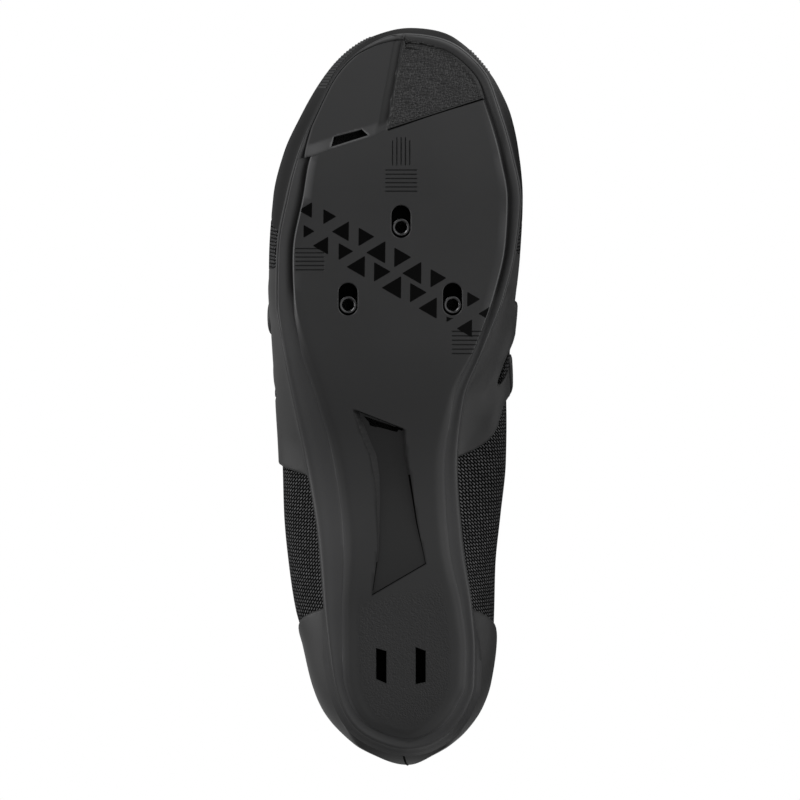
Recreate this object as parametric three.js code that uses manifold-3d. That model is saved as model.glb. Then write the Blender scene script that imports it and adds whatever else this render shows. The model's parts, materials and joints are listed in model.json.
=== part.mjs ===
// Right road cycling shoe, built standing in millimetres and then laid on its medial side.
// In the standing frame x runs from heel to toe, y to the medial side and z up from the ground.
import * as THREE from "three";
import { ConvexHull } from "three/addons/math/ConvexHull.js";
import { mergeVertices } from "three/addons/utils/BufferGeometryUtils.js";
import Module from "manifold-3d";

const wasm = await Module();
wasm.setup();

// Named sizes
const shoeLength = 285;
const ballWidth = 98.6;
const instepHeight = 80;
const heelHeight = 62;
const clearance = 0.3;

// Upper and what is sewn inside it
const upperWall = 1.6;
const overlayThickness = 1.2;
const strapThickness = 1.4;
const tongueThickness = 3;
const insoleThickness = 3;
const lastingMargin = 12;

// Sole
const heelTuck = 5.8;
const toeTuck = 2.1;
const toeSpring = 17;
const springStart = 0.78 * shoeLength;
const archRise = 8;
const archStart = 0.218 * shoeLength;
const archEnd = 0.575 * shoeLength;
const heelRise = 2.5;
const plateStep = 1.2;
const rimHeight = 10;
const rimRoll = 0.9;
const channelDepth = 1.5;
const heelSlotDepth = 3;

// Cleat hardware: three nuts on one steel plate
const nutRearX = 0.6242 * shoeLength;
const nutBase = 30;
const nutSpread = 40.4;
const nutDiameter = 6.8;
const nutBore = 4.2;
const nutRecess = 0.9;
const nutTravel = 4.8;
const nutRearSpace = 0.7;
const nutPlateThickness = 1.6;
const nutPlateMargin = 8;
const plateUnderNuts = 3;

// How fine the surfaces are
const sectionCount = 28;
const spanSteps = 3;
const soleSections = 30;
const roundSteps = 16;

// The sole's outline from its heel tip to its toe tip: shares of the sole's length and the ball width
const soleTable = [
  { along: 0, lateral: 0.027, medial: 0.027, lateralRim: 0.061, medialRim: 0.061 },
  { along: 0.0043, lateral: -0.047, medial: 0.105, lateralRim: 0.061, medialRim: 0.061 },
  { along: 0.028, lateral: -0.172, medial: 0.208, lateralRim: 0.058, medialRim: 0.058 },
  { along: 0.056, lateral: -0.227, medial: 0.263, lateralRim: 0.056, medialRim: 0.053 },
  { along: 0.09, lateral: -0.259, medial: 0.294, lateralRim: 0.057, medialRim: 0.05 },
  { along: 0.14, lateral: -0.282, medial: 0.297, lateralRim: 0.073, medialRim: 0.053 },
  { along: 0.195, lateral: -0.299, medial: 0.285, lateralRim: 0.088, medialRim: 0.058 },
  { along: 0.293, lateral: -0.322, medial: 0.247, lateralRim: 0.118, medialRim: 0.076 },
  { along: 0.398, lateral: -0.369, medial: 0.227, lateralRim: 0.129, medialRim: 0.07 },
  { along: 0.488, lateral: -0.422, medial: 0.253, lateralRim: 0.11, medialRim: 0.052 },
  { along: 0.558, lateral: -0.462, medial: 0.328, lateralRim: 0.088, medialRim: 0.034 },
  { along: 0.63, lateral: -0.49, medial: 0.409, lateralRim: 0.074, medialRim: 0.042 },
  { along: 0.698, lateral: -0.485, medial: 0.457, lateralRim: 0.065, medialRim: 0.046 },
  { along: 0.768, lateral: -0.451, medial: 0.478, lateralRim: 0.067, medialRim: 0.056 },
  { along: 0.83, lateral: -0.404, medial: 0.446, lateralRim: 0.052, medialRim: 0.052 },
  { along: 0.9, lateral: -0.316, medial: 0.388, lateralRim: 0.05, medialRim: 0.05 },
  { along: 0.94, lateral: -0.257, medial: 0.345, lateralRim: 0.05, medialRim: 0.05 },
  { along: 0.97, lateral: -0.181, medial: 0.274, lateralRim: 0.05, medialRim: 0.05 },
  { along: 0.99, lateral: -0.091, medial: 0.188, lateralRim: 0.05, medialRim: 0.05 },
  { along: 1, lateral: 0.02, medial: 0.02, lateralRim: 0.05, medialRim: 0.05 },
];

// How high the last's flat bottom lies above the underside, as a share of the instep height
const seatShare = 0.058;

// A section's rounding: how far out its bottom corner lies, how high that corner and the shoulder are,
// and how far the foot of the wall is tucked in under the widest place
const cornerOut = 0.93;
const cornerLift = 0.12;
const shoulderLift = 0.66;
const footTuck = 0.015;

// The last from heel to toe. along is a share of the shoe's length. Widths and the ridge's place are
// shares of the ball width, and full is how far out the shoulder between widest point and ridge lies.
const lastWidths = [
  { along: 0, lateral: 0.03, medial: 0.03, ridge: 0.03, full: 0.8 },
  { along: 0.01, lateral: -0.081, medial: 0.113, ridge: 0.03, full: 0.8 },
  { along: 0.026, lateral: -0.17, medial: 0.193, ridge: 0.03, full: 0.8 },
  { along: 0.05, lateral: -0.247, medial: 0.271, ridge: 0.03, full: 0.8 },
  { along: 0.08, lateral: -0.307, medial: 0.326, ridge: 0.03, full: 0.8 },
  { along: 0.11, lateral: -0.34, medial: 0.354, ridge: 0.025, full: 0.79 },
  { along: 0.16, lateral: -0.375, medial: 0.377, ridge: 0.02, full: 0.77 },
  { along: 0.21, lateral: -0.419, medial: 0.384, ridge: 0.02, full: 0.75 },
  { along: 0.27, lateral: -0.447, medial: 0.384, ridge: 0.025, full: 0.72 },
  { along: 0.34, lateral: -0.467, medial: 0.403, ridge: 0.03, full: 0.7 },
  { along: 0.41, lateral: -0.475, medial: 0.424, ridge: 0.04, full: 0.69 },
  { along: 0.48, lateral: -0.487, medial: 0.429, ridge: 0.05, full: 0.69 },
  { along: 0.54, lateral: -0.495, medial: 0.428, ridge: 0.06, full: 0.7 },
  { along: 0.6, lateral: -0.507, medial: 0.442, ridge: 0.065, full: 0.72 },
  { along: 0.68, lateral: -0.511, medial: 0.466, ridge: 0.07, full: 0.75 },
  { along: 0.77, lateral: -0.497, medial: 0.479, ridge: 0.075, full: 0.78 },
  { along: 0.83, lateral: -0.456, medial: 0.465, ridge: 0.075, full: 0.8 },
  { along: 0.88, lateral: -0.39, medial: 0.436, ridge: 0.07, full: 0.8 },
  { along: 0.92, lateral: -0.325, medial: 0.392, ridge: 0.065, full: 0.8 },
  { along: 0.955, lateral: -0.248, medial: 0.331, ridge: 0.055, full: 0.8 },
  { along: 0.98, lateral: -0.157, medial: 0.248, ridge: 0.05, full: 0.8 },
  { along: 0.994, lateral: -0.06, medial: 0.167, ridge: 0.045, full: 0.8 },
  { along: 1, lateral: 0.042, medial: 0.042, ridge: 0.042, full: 0.8 },
];

// Heights of the same sections, as shares of the instep height: the bottom, the widest place and the top
const lastHeights = [
  { along: 0, low: 0.325, wide: 0.325, top: 0.325 },
  { along: 0.01, low: 0.19, wide: 0.31, top: 0.64 },
  { along: 0.026, low: 0.12, wide: 0.3, top: 0.86 },
  { along: 0.05, low: 0.075, wide: 0.295, top: 1.0 },
  { along: 0.08, low: 0.062, wide: 0.295, top: 1.08 },
  { along: 0.11, low: seatShare, wide: 0.295, top: 1.12 },
  { along: 0.16, low: seatShare, wide: 0.3, top: 1.14 },
  { along: 0.21, low: seatShare, wide: 0.315, top: 1.14 },
  { along: 0.27, low: seatShare, wide: 0.34, top: 1.13 },
  { along: 0.34, low: seatShare, wide: 0.36, top: 1.1 },
  { along: 0.41, low: seatShare, wide: 0.37, top: 1.05 },
  { along: 0.48, low: seatShare, wide: 0.37, top: 0.98 },
  { along: 0.54, low: seatShare, wide: 0.365, top: 0.91 },
  { along: 0.6, low: seatShare, wide: 0.34, top: 0.83 },
  { along: 0.68, low: seatShare, wide: 0.31, top: 0.72 },
  { along: 0.77, low: seatShare, wide: 0.285, top: 0.62 },
  { along: 0.83, low: seatShare, wide: 0.27, top: 0.56 },
  { along: 0.88, low: seatShare, wide: 0.26, top: 0.51 },
  { along: 0.92, low: seatShare, wide: 0.25, top: 0.465 },
  { along: 0.955, low: 0.065, wide: 0.235, top: 0.41 },
  { along: 0.98, low: 0.1, wide: 0.225, top: 0.35 },
  { along: 0.994, low: 0.14, wide: 0.21, top: 0.285 },
  { along: 1, low: 0.205, wide: 0.205, top: 0.205 },
];

// Outlines of panels and cuts: along is a share of the shoe's length, up a share of the instep height
// and across a share of the ball width
const medialWingEdge = [
  { along: 0.7, up: -0.2 },
  { along: 0.696, up: 0.15 },
  { along: 0.69, up: 0.33 },
  { along: 0.655, up: 0.63 },
  { along: 0.6, up: 1.2 },
  { along: 0.44, up: 1.2 },
  { along: 0.468, up: 0.75 },
  { along: 0.496, up: 0.43 },
  { along: 0.478, up: 0.31 },
  { along: 0.442, up: 0.225 },
  { along: 0.418, up: 0.15 },
  { along: 0.41, up: -0.2 },
];
const medialSlit = [
  { along: 0.514, up: 0.24 },
  { along: 0.586, up: 0.37 },
  { along: 0.562, up: 0.75 },
  { along: 0.54, up: 1.2 },
  { along: 0.51, up: 1.2 },
  { along: 0.53, up: 0.75 },
  { along: 0.561, up: 0.4 },
];
const lateralWingEdge = [
  { along: 0.68, up: -0.2 },
  { along: 0.676, up: 0.15 },
  { along: 0.67, up: 0.35 },
  { along: 0.64, up: 0.63 },
  { along: 0.59, up: 1.2 },
  { along: 0.36, up: 1.2 },
  { along: 0.388, up: 0.75 },
  { along: 0.408, up: 0.4 },
  { along: 0.396, up: 0.26 },
  { along: 0.381, up: 0.15 },
  { along: 0.372, up: -0.2 },
];
const lateralSlit = [
  { along: 0.505, up: 0.31 },
  { along: 0.517, up: 0.4 },
  { along: 0.505, up: 0.75 },
  { along: 0.49, up: 1.2 },
  { along: 0.462, up: 1.2 },
  { along: 0.477, up: 0.75 },
  { along: 0.494, up: 0.4 },
];
const toeCapEdge = [
  { along: 1.1, up: -0.2 },
  { along: 1.1, up: 1.2 },
  { along: 0.93, up: 1.2 },
  { along: 0.9, up: 0.68 },
  { along: 0.85, up: 0.5 },
  { along: 0.79, up: 0.37 },
  { along: 0.735, up: 0.24 },
  { along: 0.725, up: -0.2 },
];
// Woven windows between each wing and the toe cap
const medialWindow = [
  { along: 0.6986, up: 0.05 },
  { along: 0.729, up: 0.05 },
  { along: 0.7335, up: 0.24 },
  { along: 0.757, up: 0.3 },
  { along: 0.7, up: 0.36 },
  { along: 0.6915, up: 0.33 },
];
const lateralWindow = [
  { along: 0.6786, up: 0.05 },
  { along: 0.729, up: 0.05 },
  { along: 0.7335, up: 0.24 },
  { along: 0.745, up: 0.28 },
  { along: 0.7, up: 0.36 },
  { along: 0.6715, up: 0.35 },
];
const counterEdge = [
  { along: -0.1, up: -0.2 },
  { along: 0.222, up: -0.2 },
  { along: 0.212, up: 0.14 },
  { along: 0.19, up: 0.3 },
  { along: 0.152, up: 0.45 },
  { along: 0.1, up: 0.6 },
  { along: 0.05, up: 0.67 },
  { along: -0.1, up: 0.7 },
];
const frontStrapBand = [
  { along: 0.59, up: 0.36 },
  { along: 0.627, up: 0.36 },
  { along: 0.617, up: 0.7 },
  { along: 0.595, up: 1.3 },
  { along: 0.535, up: 1.3 },
  { along: 0.57, up: 0.7 },
];
const rearStrapBand = [
  { along: 0.512, up: 0.44 },
  { along: 0.556, up: 0.44 },
  { along: 0.542, up: 0.75 },
  { along: 0.515, up: 1.3 },
  { along: 0.44, up: 1.3 },
  { along: 0.486, up: 0.75 },
];
const throatEdge = [
  { along: 0.3, across: 0.25 },
  { along: 0.4, across: 0.22 },
  { along: 0.55, across: 0.18 },
  { along: 0.66, across: 0.145 },
  { along: 0.71, across: 0.08 },
  { along: 0.71, across: 0.04 },
  { along: 0.66, across: -0.03 },
  { along: 0.55, across: -0.08 },
  { along: 0.4, across: -0.14 },
  { along: 0.3, across: -0.18 },
];
// The collar's rim from the back of the heel to the throat: up is a share of the heel's height
const collarEdge = [
  { along: -0.1, up: 1.0 },
  { along: 0.01, up: 1.0 },
  { along: 0.06, up: 0.97 },
  { along: 0.12, up: 0.87 },
  { along: 0.17, up: 0.82 },
  { along: 0.23, up: 0.86 },
  { along: 0.29, up: 1.0 },
  { along: 0.34, up: 1.18 },
  { along: 0.38, up: 1.45 },
];
// The joint between the plate and the toe pad, seen from below
const toeJoint = [
  { along: 0.81, across: -0.6 },
  { along: 0.826, across: -0.341 },
  { along: 0.835, across: -0.267 },
  { along: 0.852, across: -0.108 },
  { along: 0.86, across: -0.063 },
  { along: 0.904, across: 0.33 },
  { along: 0.93, across: 0.6 },
];
const toeTreadEdge = [
  { along: 0.872, across: -0.03 },
  { along: 0.908, across: 0.29 },
  { along: 0.95, across: 0.24 },
  { along: 0.975, across: 0.14 },
  { along: 0.982, across: 0.0 },
];
const toeVentEdge = [
  { along: 0.8385, across: -0.27 },
  { along: 0.852, across: -0.259 },
  { along: 0.862, across: -0.149 },
  { along: 0.8543, across: -0.125 },
];
const archChannelEdge = [
  { along: 0.482, across: -0.186 },
  { along: 0.454, across: 0.019 },
  { along: 0.397, across: 0.038 },
  { along: 0.328, across: 0.068 },
  { along: 0.273, across: 0.101 },
  { along: 0.23, across: -0.11 },
  { along: 0.288, across: -0.087 },
  { along: 0.363, across: -0.092 },
  { along: 0.418, across: -0.116 },
  { along: 0.469, across: -0.168 },
];
const archVentEdge = [
  { along: 0.4737, across: -0.144 },
  { along: 0.4568, across: -0.002 },
  { along: 0.4516, across: -0.012 },
  { along: 0.4603, across: -0.108 },
];
const heelSlotEdges = [
  [
    { along: 0.1167, across: -0.093 },
    { along: 0.158, across: -0.093 },
    { along: 0.154, across: -0.054 },
    { along: 0.111, across: -0.054 },
  ],
  [
    { along: 0.11, across: 0.062 },
    { along: 0.1593, across: 0.062 },
    { along: 0.1545, across: 0.1 },
    { along: 0.1125, across: 0.1 },
  ],
];

// Materials
const compositeFinish = { color: 0x333435, roughness: 0.55, metalness: 0 };
const toePadFinish = { color: 0x38393a, roughness: 0.75, metalness: 0 };
const meshFinish = { color: 0x17181a, roughness: 0.95, metalness: 0 };
const overlayFinish = { color: 0x404142, roughness: 0.6, metalness: 0 };
const strapFinish = { color: 0x2c2d2e, roughness: 0.7, metalness: 0 };
const foamFinish = { color: 0x1d1e20, roughness: 0.95, metalness: 0 };
const steelFinish = { color: 0x8d8f92, roughness: 0.35, metalness: 1 };

// Grams per cubic centimetre, which decide on which side the shoe comes to rest
const compositeDensity = 1.1;
const fabricDensity = 0.6;
const steelDensity = 7.8;

// A smooth function of the share along a table, without overshoot. Rows are spaced by an angle that
// opens evenly round both tips, so an outline closes in a round end.
function tipAngle(along) {
  return Math.acos(1 - 2 * Math.min(Math.max(along, 0), 1));
}

function smoothColumn(table, name) {
  const angles = table.map((row) => tipAngle(row.along));
  const values = table.map((row) => row[name]);
  const last = values.length - 1;
  const slopes = values.slice(1).map((value, i) => (value - values[i]) / (angles[i + 1] - angles[i]));
  const tangents = values.map((_, i) => {
    if (i === 0) return slopes[0];
    if (i === last) return slopes[last - 1];
    const before = slopes[i - 1];
    const after = slopes[i];
    return before * after <= 0 ? 0 : (2 * before * after) / (before + after);
  });
  return (along) => {
    const angle = tipAngle(along);
    let i = 0;
    while (i < last - 1 && angle > angles[i + 1]) i += 1;
    const width = angles[i + 1] - angles[i];
    const t = (angle - angles[i]) / width;
    const startWeight = (1 + 2 * t) * (1 - t) * (1 - t);
    const endWeight = t * t * (3 - 2 * t);
    const bend = width * t * (1 - t) * ((1 - t) * tangents[i] - t * tangents[i + 1]);
    return startWeight * values[i] + endWeight * values[i + 1] + bend;
  };
}

function columnsOf(...tables) {
  const columns = tables.flatMap((table) => {
    const names = Object.keys(table[0]).filter((name) => name !== "along");
    return names.map((name) => [name, smoothColumn(table, name)]);
  });
  return Object.fromEntries(columns);
}

const soleShape = columnsOf(soleTable);
const lastShape = columnsOf(lastWidths, lastHeights);

// Heights of the underside above the ground
function springHeight(x) {
  const reach = Math.max(0, (x - springStart) / (shoeLength - springStart));
  return toeSpring * Math.pow(reach, 1.8);
}

function undersideHeight(x) {
  const archShare = Math.min(Math.max((x - archStart) / (archEnd - archStart), 0), 1);
  const arch = archRise * Math.sin(Math.PI * archShare) ** 2;
  const heelShare = Math.max(0, 1 - x / (0.1 * shoeLength));
  return springHeight(x) + arch + heelRise * heelShare * heelShare;
}

// Closed solids
function solidOf(geometry) {
  const bare = geometry.index ? geometry.toNonIndexed() : geometry.clone();
  bare.deleteAttribute("normal");
  bare.deleteAttribute("uv");
  const merged = mergeVertices(bare, 1e-4);
  const corners = merged.index.array;
  const kept = [];
  for (let i = 0; i < corners.length; i += 3) {
    const [a, b, c] = corners.subarray(i, i + 3);
    if (a !== b && b !== c && a !== c) kept.push(a, b, c);
  }
  const vertProperties = new Float32Array(merged.attributes.position.array);
  const made = new wasm.Manifold(
    new wasm.Mesh({ numProp: 3, vertProperties, triVerts: new Uint32Array(kept) }),
  );
  if (made.volume() > 0) return made;
  for (let i = 0; i < kept.length; i += 3) [kept[i + 1], kept[i + 2]] = [kept[i + 2], kept[i + 1]];
  return new wasm.Manifold(
    new wasm.Mesh({ numProp: 3, vertProperties, triVerts: new Uint32Array(kept) }),
  );
}

// Joins rings of equal length whose first and last close on themselves
function loft(rings) {
  const count = rings[0].length;
  const positions = [];
  for (let i = 0; i < rings.length - 1; i += 1) {
    for (let j = 0; j < count; j += 1) {
      const next = (j + 1) % count;
      const [a, b] = [rings[i][j], rings[i][next]];
      const [c, d] = [rings[i + 1][j], rings[i + 1][next]];
      for (const point of [a, b, c, b, d, c]) positions.push(point.x, point.y, point.z);
    }
  }
  const geometry = new THREE.BufferGeometry();
  geometry.setAttribute("position", new THREE.Float32BufferAttribute(positions, 3));
  return solidOf(geometry);
}

function shapeFrom(points) {
  return new THREE.Shape(points.map(([x, y]) => new THREE.Vector2(x, y)));
}

// A cut seen from above, between two heights
function planCut(outline, low, high) {
  const shape = shapeFrom(outline.map((row) => [row.along * shoeLength, row.across * ballWidth]));
  const geometry = new THREE.ExtrudeGeometry(shape, { depth: high - low, bevelEnabled: false });
  return solidOf(geometry.translate(0, 0, low));
}

// A cut seen from the side, between two places across the shoe
function sideCut(outline, from, to, height = instepHeight) {
  const shape = shapeFrom(outline.map((row) => [row.along * shoeLength, row.up * height]));
  const geometry = new THREE.ExtrudeGeometry(shape, { depth: to - from, bevelEnabled: false });
  return solidOf(geometry.rotateX(Math.PI / 2).translate(0, to, 0));
}

// The last, grown outwards or inwards along its own normals
function lastSection(along) {
  const x = along * shoeLength;
  const lateral = lastShape.lateral(along) * ballWidth;
  const medial = lastShape.medial(along) * ballWidth;
  const ridge = lastShape.ridge(along) * ballWidth;
  const tuck = footTuck * (medial - lateral);
  const footLateral = Math.max(soleShape.lateral(along) * ballWidth, lateral + tuck);
  const footMedial = Math.min(soleShape.medial(along) * ballWidth, medial - tuck);
  const floor = undersideHeight(x);
  const spring = springHeight(x);
  const wide = spring + lastShape.wide(along) * instepHeight;
  const top = spring + lastShape.top(along) * instepHeight;
  const low = Math.min(floor + lastShape.low(along) * instepHeight, wide);
  const seat = seatShare * instepHeight;
  const edge = Math.min(Math.max(floor + rimHeight, low), wide);
  const middle = (footLateral + footMedial) / 2;
  const full = lastShape.full(along);
  const shoulder = wide + shoulderLift * (top - wide);
  const corner = low + cornerLift * Math.min(seat, edge - low);
  const outline = [
    [middle, low],
    [middle + cornerOut * (footMedial - middle), corner],
    [footMedial, edge],
    [medial, wide],
    [ridge + full * (medial - ridge), shoulder],
    [ridge, top],
    [ridge + full * (lateral - ridge), shoulder],
    [lateral, wide],
    [footLateral, edge],
    [middle + cornerOut * (footLateral - middle), corner],
  ];
  const steps = outline.length * spanSteps;
  const atTip = along === 0 || along === 1;
  const points = outline.map(([y, z]) => new THREE.Vector3(x, y, z));
  const curve = new THREE.CatmullRomCurve3(points, true, "centripetal");
  return Array.from({ length: steps }, (_, j) => (
    atTip ? new THREE.Vector3(x, ridge, wide) : curve.getPoint(j / steps)
  ));
}

const lastSections = Array.from({ length: sectionCount + 1 }, (_, i) =>
  lastSection((1 - Math.cos((Math.PI * i) / sectionCount)) / 2),
);

function outwardNormal(i, j) {
  const count = lastSections[0].length;
  if (i === 0) return new THREE.Vector3(-1, 0, 0);
  if (i === sectionCount) return new THREE.Vector3(1, 0, 0);
  const along = lastSections[i + 1][j].clone().sub(lastSections[i - 1][j]);
  const around = lastSections[i][(j + 1) % count].clone().sub(lastSections[i][(j + count - 1) % count]);
  return around.cross(along).normalize();
}

const lastNormals = lastSections.map((ring, i) => ring.map((_, j) => outwardNormal(i, j)));

function lastForm(grow) {
  const rings = lastSections.map((ring, i) =>
    ring.map((point, j) => point.clone().addScaledVector(lastNormals[i][j], grow)),
  );
  return loft(rings);
}

function shellBetween(inner, outer) {
  return lastForm(outer).subtract(lastForm(inner));
}

// A point of the sole's outline, moved in from the edge along the outline's normal
const soleLength = shoeLength - heelTuck - toeTuck;

function solePoint(along, side, inset) {
  const share = Math.min(Math.max(along, 0), 1);
  const width = side === "medial" ? soleShape.medial : soleShape.lateral;
  const x = heelTuck + share * soleLength;
  const y = width(share) * ballWidth;
  if (share === 0) return { x: x + inset, y };
  if (share === 1) return { x: x - inset, y };
  const step = Math.min(1e-3, share / 2, (1 - share) / 2);
  const dx = 2 * step * soleLength;
  const dy = (width(share + step) - width(share - step)) * ballWidth;
  const turn = side === "medial" ? 1 : -1;
  const size = Math.hypot(dx, dy);
  return { x: x + (turn * dy * inset) / size, y: y - (turn * dx * inset) / size };
}

// A layer of the sole: rows run from the lateral side's middle out to its edge, and the medial side
// mirrors them. Each row gives an inset from the edge and a height above the underside.
function soleLayer(rowsAt) {
  const rings = Array.from({ length: soleSections + 1 }, (_, i) => {
    const along = (1 - Math.cos((Math.PI * i) / soleSections)) / 2;
    const place = (side) =>
      rowsAt(along, side).map(({ inset, height }) => {
        const { x, y } = solePoint(along, side, inset);
        return new THREE.Vector3(x, y, undersideHeight(x) + height);
      });
    return [...place("lateral"), ...place("medial").reverse()];
  });
  return loft(rings);
}

function rimWidth(along, side) {
  return (side === "medial" ? soleShape.medialRim(along) : soleShape.lateralRim(along)) * ballWidth;
}

function rimRows(grow) {
  return (along, side) => {
    const rim = rimWidth(along, side);
    return [
      { inset: rim, height: plateStep - grow },
      { inset: 0.5 * rim, height: plateStep + rimRoll - grow },
      { inset: 0.16 * rim - grow, height: plateStep + 0.4 * rimRoll - grow },
      { inset: -grow, height: plateStep + 2 * rimRoll },
      { inset: -grow, height: rimHeight + grow },
    ];
  };
}

const slabRows = (insetAt, low, high) => (along, side) => [
  { inset: insetAt(along, side), height: low },
  { inset: insetAt(along, side), height: high },
];

// A stadium-shaped or round post standing on a plan
function slotCut(x, y, width, length, low, high) {
  const radius = width / 2;
  const shape = new THREE.Shape();
  const reach = Math.max(length - width, 1e-3);
  shape.absarc(x + reach, y, radius, -Math.PI / 2, Math.PI / 2, false);
  shape.absarc(x, y, radius, Math.PI / 2, (3 * Math.PI) / 2, false);
  const geometry = new THREE.ExtrudeGeometry(shape, {
    depth: high - low,
    bevelEnabled: false,
    curveSegments: roundSteps / 2,
  });
  return solidOf(geometry.translate(0, 0, low));
}

function postCut(x, y, radius, low, high) {
  const geometry = new THREE.CylinderGeometry(radius, radius, high - low, roundSteps);
  geometry.rotateX(Math.PI / 2);
  return solidOf(geometry.translate(x, y, (low + high) / 2));
}

// Cleat hardware
const nutPlaces = [
  { x: nutRearX + nutBase, y: 0.4 },
  { x: nutRearX, y: 0.1 + nutSpread / 2 },
  { x: nutRearX, y: 0.1 - nutSpread / 2 },
];

function nutPlateOutline(margin, stretch) {
  const corners = nutPlaces.map(({ x, y }) => new THREE.Vector2(x, y));
  const points = [];
  corners.forEach((corner) => {
    for (let k = 0; k < roundSteps; k += 1) {
      const angle = (2 * Math.PI * k) / roundSteps;
      const edge = new THREE.Vector2(Math.cos(angle), Math.sin(angle)).multiplyScalar(margin);
      const point = edge.add(corner);
      points.push(point, new THREE.Vector2(point.x + stretch, point.y));
    }
  });
  return convexOutline(points);
}

function convexOutline(points) {
  const sorted = [...points].sort((a, b) => a.x - b.x || a.y - b.y);
  const turn = (o, a, b) => (a.x - o.x) * (b.y - o.y) - (a.y - o.y) * (b.x - o.x);
  const half = (list) => {
    const chain = [];
    for (const point of list) {
      while (chain.length > 1 && turn(chain.at(-2), chain.at(-1), point) <= 1e-6) chain.pop();
      chain.push(point);
    }
    return chain.slice(0, -1);
  };
  return [...half(sorted), ...half(sorted.reverse())];
}

function extruded(outline, low, high) {
  const geometry = new THREE.ExtrudeGeometry(new THREE.Shape(outline), {
    depth: high - low,
    bevelEnabled: false,
  });
  return solidOf(geometry.translate(0, 0, low));
}

const slotWidth = nutDiameter + 2 * clearance;
const slotLength = nutRearSpace + nutDiameter + nutTravel + clearance;
const nutPlateLow = plateUnderNuts + clearance;
const nutPlateHigh = nutPlateLow + nutPlateThickness;
const far = 2 * instepHeight;

function makeNutPlate() {
  let plate = extruded(nutPlateOutline(nutPlateMargin, 0), nutPlateLow, nutPlateHigh);
  for (const { x, y } of nutPlaces) {
    const boss = postCut(x, y, nutDiameter / 2, nutRecess, nutPlateHigh);
    plate = plate.add(boss).subtract(postCut(x, y, nutBore / 2, -1, far));
  }
  return plate;
}

// Sole pieces
const bootieGrow = -(overlayThickness + clearance);
const seatForm = lastForm(bootieGrow + clearance);

function makeSoleBody() {
  const rim = soleLayer(rimRows(0));
  const plate = soleLayer(slabRows(rimWidth, 0, plateStep + 1));
  return { rim, plate };
}

function toeRegion(gap) {
  const line = toeJoint.map((row) => ({ along: row.along + gap / shoeLength, across: row.across }));
  const beyond = [
    { along: 1.2, across: 0.6 },
    { along: 1.2, across: -0.6 },
  ];
  return planCut([...line, ...beyond], -far, far);
}

function makeOutsole({ rim, plate }) {
  let sole = rim.add(plate).subtract(seatForm).subtract(toeRegion(-clearance / 2));
  for (const { x, y } of nutPlaces) {
    const start = x - nutDiameter / 2 - nutRearSpace + slotWidth / 2;
    sole = sole.subtract(slotCut(start, y, slotWidth, slotLength, -1, far / 2));
  }
  const pocket = extruded(
    nutPlateOutline(nutPlateMargin + 2 * clearance, nutTravel),
    plateUnderNuts,
    far / 2,
  );
  sole = sole.subtract(pocket);
  const channelFloor = undersideHeight(archVentEdge[0].along * shoeLength) + channelDepth;
  const channelShape = planCut(archChannelEdge, -far, far);
  const channelLayer = soleLayer(slabRows(() => 1, -1, channelDepth));
  sole = sole.subtract(channelShape.intersect(channelLayer));
  sole = sole.subtract(planCut(archVentEdge, -1, channelFloor + instepHeight / 4));
  for (const edge of heelSlotEdges) sole = sole.subtract(planCut(edge, -1, heelSlotDepth + plateStep));
  return sole;
}

function makeToePad({ rim, plate }) {
  const tread = plate.intersect(planCut(toeTreadEdge, -far, far));
  const body = rim.add(tread).intersect(toeRegion(clearance / 2)).subtract(seatForm);
  return body.subtract(planCut(toeVentEdge, -1, instepHeight / 3));
}

// Upper pieces
const throatCut = planCut(throatEdge, 0.4 * instepHeight, 2 * far);
const collarCut = sideCut(
  [...collarEdge, { along: 0.38, up: 3 }, { along: -0.1, up: 3 }],
  -far,
  far,
  heelHeight,
);
const soleEnvelope = soleLayer(rimRows(clearance));

function makeUpper() {
  const inner = bootieGrow - upperWall;
  const opening = soleLayer(slabRows(() => lastingMargin, -1, rimHeight + upperWall));
  const bootie = shellBetween(inner, bootieGrow).subtract(collarCut).subtract(throatCut).subtract(opening);
  const windows = shellBetween(bootieGrow - upperWall / 2, 0)
    .intersect(sideCut(medialWindow, 0, far).add(sideCut(lateralWindow, -far, 0)))
    .subtract(soleEnvelope);
  return bootie.add(windows);
}

function makeOverlay(region) {
  return shellBetween(-overlayThickness, 0)
    .intersect(region)
    .subtract(soleEnvelope)
    .subtract(collarCut)
    .subtract(throatCut);
}

function makeWing(edge, slit, from, to) {
  return makeOverlay(sideCut(edge, from, to)).subtract(sideCut(slit, from, to));
}

function makeStrap(band) {
  return shellBetween(clearance, clearance + strapThickness).intersect(sideCut(band, -far, far));
}

const lining = bootieGrow - upperWall - clearance;

function makeTongue() {
  const overlap = 0.1;
  const wider = throatEdge.map((row) => ({
    along: row.along > 0.6 ? row.along + 0.02 : row.along,
    across: row.across + (row.across > 0.02 ? overlap : -overlap),
  }));
  const crown = sideCut(
    [
      { along: 0.3, up: 0.75 },
      { along: 0.8, up: 0.42 },
      { along: 0.8, up: 2 },
      { along: 0.3, up: 2 },
    ],
    -far,
    far,
  );
  return shellBetween(lining - tongueThickness, lining).intersect(planCut(wider, 0, far)).intersect(crown);
}

function makeInsole() {
  const low = seatShare * instepHeight - lining;
  const inset = rimHeight - insoleThickness;
  return lastForm(lining).intersect(soleLayer(slabRows(() => inset, 0, low + insoleThickness)));
}

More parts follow.
